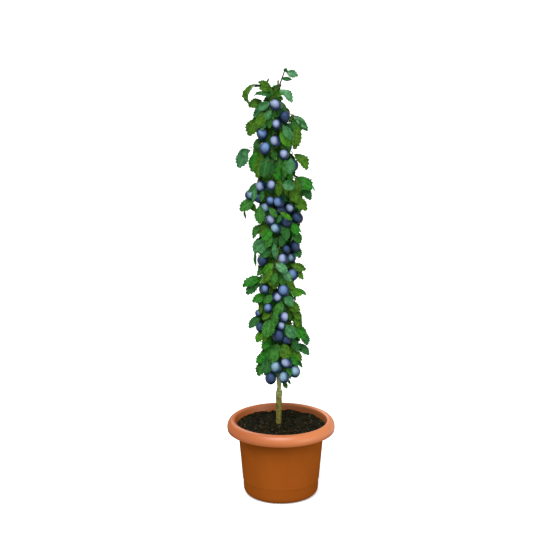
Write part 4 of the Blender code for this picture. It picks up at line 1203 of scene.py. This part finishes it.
def hang_leaf(base, tip, breadth, bend, roll, shade, chance):
    """A leaf from its foot to its tip, on its stalk and, where the wood is far off, on a twig of its own."""
    reach = tip - base
    turn = bend / 2.0
    side = reach.cross(Vector((0, -1, 0.3))).normalized()
    front = side.cross(reach).normalized()
    up = front * math.cos(math.radians(roll)) + side * math.sin(math.radians(roll))
    way = (reach.normalized() * math.cos(turn) + up * math.sin(turn)).normalized()
    length = reach.length * turn / math.sin(turn)
    knot = nearest_knot(base)
    start = knot.point
    if (start - base).length > LEAF_TWIG_GAP:
        end = base.lerp(start, LEAF_STALK_GAP / (start - base).length)
        add_twig(arched(start, end, SPUR_LIFT, 4), SPUR_RADIUS, TWIG_TIP_RADIUS, knot.mass, knot.spray)
        start = end
    half, phase = breadth * length * 0.5, chance.uniform(0, 6)
    corners, up = leaf_shape(base, way, up, length, half, bend, SEEN_FOLD, SEEN_RIPPLE, phase)
    add_leaf(start, base, way, up, corners, shade)


chance = random.Random(41)
for foot_x, foot_y, tip_x, tip_y, breadth, toward, shade, *curl in LEAVES_SEEN:
    bend, roll = curl + LEAF_CURL[len(curl):]
    base = seen_at(foot_x, foot_y, toward / 1000)
    tip = seen_at(tip_x, tip_y, toward / 1000 + chance.uniform(0.0, 0.012))
    hang_leaf(base, tip, breadth / 100, bend / 10, roll, shade, chance)
    for x, y, far in pixels_of([base.lerp(tip, 0.35), base.lerp(tip, 0.65)]):
        seen_pixels.append((x, y, far, LEAF_OPEN_PIXELS))

for number, mass in enumerate(masses):
    chance = random.Random(500 + number)
    own_knots = [knot for knot in knots if knot.mass is mass and turn_and_radius(knot.point)[1] > 0.010]
    hung = 0
    for attempt in range(LEAF_TRIES):
        if hung == LEAVES_A_MASS:
            break
        knot = chance.choice(own_knots)
        away = outward(turn_and_radius(knot.point)[0] + chance.uniform(-40, 40))
        side = UP.cross(away)
        leave = away * chance.uniform(0.3, 1.0) + side * chance.uniform(-0.8, 0.8)
        leave = (leave + UP * chance.uniform(-0.5, 0.6)).normalized()
        base = knot.point + leave * chance.uniform(0.009, 0.024)
        angle = math.radians(-90 + chance.uniform(-80, 80))
        spread = side * math.cos(angle) + UP * math.sin(angle)
        way = (away * chance.uniform(0.1, 0.9) + spread).normalized()
        facing = (away + UP * chance.uniform(0.2, 1.0) + side * chance.uniform(-0.6, 0.6)).normalized()
        length = LEAF_LENGTH * chance.uniform(0.72, 1.15)
        breadth = length * chance.uniform(0.27, 0.34)
        bend = chance.uniform(0.15, 0.9)
        fold, ripple = chance.uniform(0.08, 0.65), chance.uniform(0.08, 0.30)
        phase = chance.uniform(0, 6)
        corners, up = leaf_shape(base, way, facing, length, breadth, bend, fold, ripple, phase)
        spots = corners[probe]
        middle = corners.mean(axis=0)
        blocked = crowds(middle, up) or not outline_allows(spots) or in_plum(spots)
        if blocked or hides_seen(spots) or covers_side_plum(spots):
            continue
        turn, radius = turn_and_radius(Vector(middle))
        turn = math.radians(turn)
        wave = noise.noise(Vector((math.sin(turn) * 2, math.cos(turn) * 2, middle[2] * 14)))
        reach = turn_and_radius(Vector(corners[-1]))[1]
        if radius < LEAF_NEAREST or reach > LEAF_FARTHEST + LEAF_FARTHEST_WAVE * wave:
            continue
        add_leaf(knot.point, base, way, up, corners, leaf_shade(knot.spray, chance))
        hung += 1

# Deeper in, a leaf closes each gap where the sky or the far side would show and the photograph shows none
crown = Bunch()
for bunch in (*leaves, plums, wood):
    crown.add(bunch.corners, bunch.faces)
bark = trunk_bark.data
crown.add([tuple(vertex.co) for vertex in bark.vertices], [face.vertices for face in bark.polygons])
crown_tree = BVHTree.FromPolygons(crown.corners, crown.faces)
chance = random.Random(43)
closed = []
for y in GAP_ROWS:
    for x in GAP_COLUMNS:
        spot = seen_at(x, y, 0.0)
        shut = any(math.hypot(x - at_x, y - at_y) < GAP_SPACING for at_x, at_y in closed)
        sky = any(math.hypot(x - at_x, y - at_y) < GAP_SKY for at_x, at_y in SKY_SEEN)
        if shut or sky or not well_inside(spot, GAP_MARGIN):
            continue
        hit = crown_tree.ray_cast(CAMERA_PLACE, (spot - CAMERA_PLACE).normalized())[0]
        if hit is not None and hit.y < GAP_DEPTH:
            continue
        fall = chance.uniform(-0.8, 0.8)
        down = Vector((math.sin(fall), 0, -math.cos(fall)))
        aside = Vector((math.cos(fall), 0, math.sin(fall))) * GAP_LEAF_BREADTH
        for size, toward in product(GAP_LEAF_SIZES, GAP_PLANES):
            middle, half = seen_at(x, y, toward), LEAF_LENGTH * size
            foot, tip = middle - down * half, middle + down * half
            edges = [foot, tip, middle, middle - aside * half, middle + aside * half]
            spots = np.array([*edges, *(middle.lerp(edge, 0.5) for edge in edges)])
            inside = all(well_inside(edge, 0.002) for edge in edges)
            if inside and not in_plum(spots) and not hides_seen(spots):
                shade = chance.choice((MID, MID, LUSH, OLIVE, TEAL))
                hang_leaf(foot, tip, GAP_LEAF_BREADTH, 0.4, 0.0, shade, chance)
                closed.append((x, y))
                break


def leaf_green(name, deep, light, waxy=0.0):
    """Leaf skin: darker between its veins, paler on its midrib, with a waxy sheen."""
    made = Finish(f"{name} green leaf", Specular_IOR_Level=0.05, Coat_Weight=waxy, Coat_Roughness=0.42)
    mottle = made.grain(made.place(), 110.0, 3.0, 0.6)
    surface = made.place("UV")
    off = abs(made.part(surface, "X") - 0.5) * 2.0
    midrib = 1.0 - off.rising(0.02, 0.11)
    veins = ((made.part(surface, "Y") * 8.0 - off * 2.2) * math.tau).math("SINE").rising(0.55, 1.0)
    body = made.blend(mottle.rising(0.38, 0.62), deep, light)
    pale = tuple(part * 1.5 + 0.012 for part in light)
    made.feed(
        Base_Color=made.blend(midrib * 0.6 + veins * 0.30, body, pale),
        Roughness=mottle * 0.2 + 0.34,
        Normal=made.bump(veins * 0.6 + mottle * 0.4 - midrib * 0.8, 0.6, 0.0016),
    )
    return made


greens = [
    leaf_green("mid", (0.0055, 0.039, 0.0035), (0.0190, 0.084, 0.0100)),
    leaf_green("dark", (0.0042, 0.036, 0.0060), (0.0120, 0.062, 0.0120)),
    leaf_green("bluish", (0.0110, 0.058, 0.0180), (0.0420, 0.130, 0.0520), 0.15),
    leaf_green("fresh", (0.0095, 0.056, 0.0010), (0.0300, 0.112, 0.0040)),
    leaf_green("olive", (0.0095, 0.037, 0.0010), (0.0280, 0.078, 0.0030)),
    leaf_green("lush", (0.0030, 0.041, 0.0016), (0.0105, 0.090, 0.0040)),
    leaf_green("teal", (0.0060, 0.043, 0.0100), (0.0230, 0.092, 0.0300), 0.08),
]
for tier, bunch in enumerate(leaves):
    replaced = [mass.name for mass in masses if mass.tier == tier]
    if tier == len(leaves) - 1:
        replaced += ["foliage_top_left", "foliage_top_right"]
    bunch.join(f"leaves_tier_{tier + 1}", greens, "foliage", *replaced)
plums.join("plums", plum_skins, "foliage")
leaf_stalk = plain("leaf stalks", (0.035, 0.062, 0.008), 0.6)
fruit_stalk = plain("fruit stalks", (0.040, 0.042, 0.010), 0.65)
stalks.join("stalks", [leaf_stalk, fruit_stalk], "foliage")
wood.join("twigs", [twig_bark], "bark")
shoot_bark = plain("shoot bark", (0.022, 0.028, 0.006), 0.6)
shoots.join("top_shoots", [shoot_bark], "bark", "top_shoot", "arching_shoot")


# Floor. A plain matt white studio floor, laid flat under the pot. It is only a stage: a faint glow of its
# own keeps it as white as the photograph's blank sheet.
bpy.ops.mesh.primitive_plane_add(size=400.0, location=(0, 0, -0.0005))
floor = bpy.context.object
floor.name = "studio_floor"
glow = {"Emission_Color": (1.0, 1.0, 1.0), "Emission_Strength": 0.3}
white = Finish("white floor", Base_Color=(0.5, 0.5, 0.5), Roughness=1.0, Specular_IOR_Level=0.0, **glow)
floor.data.materials.append(white.material)


# Lights. A white sky all round and a broad soft sun high in front, a little to the left. Two weak lamps help
# them: one low in front on the right, and one high behind the tree.
KEY_TURN = -7.0
KEY_RISE = math.radians(52.0)
KEY_SPREAD = math.radians(38.0)
KEY_STRENGTH = 6.0
SOFT_LAMPS = (("fill_lamp", (1.9, -1.6, 0.5), 0.9, 24.0), ("back_lamp", (-1.2, 2.6, 2.0), 1.4, 60.0))
sky = bpy.data.worlds.new("studio sky")
bpy.context.scene.world = sky
sky.use_nodes = True
sky.node_tree.nodes["Background"].inputs["Color"].default_value = (1.0, 1.0, 1.0, 1.0)
sky.node_tree.nodes["Background"].inputs["Strength"].default_value = 1.0
bpy.ops.object.light_add(type="SUN", location=(0, 0, 3))
key = bpy.context.object
key.data.energy = KEY_STRENGTH
key.data.angle = KEY_SPREAD
key_way = outward(KEY_TURN) * math.cos(KEY_RISE) + UP * math.sin(KEY_RISE)
key.rotation_euler = (-key_way).to_track_quat("-Z", "Y").to_euler()
for name, lamp_place, size, power in SOFT_LAMPS:
    bpy.ops.object.light_add(type="AREA", location=lamp_place)
    lamp = bpy.context.object
    lamp.name = name
    lamp.data.size = size
    lamp.data.energy = power
    lamp.rotation_euler = (Vector((0, 0, 0.5)) - Vector(lamp_place)).to_track_quat("-Z", "Y").to_euler()

bpy.ops.object.select_all(action="DESELECT")
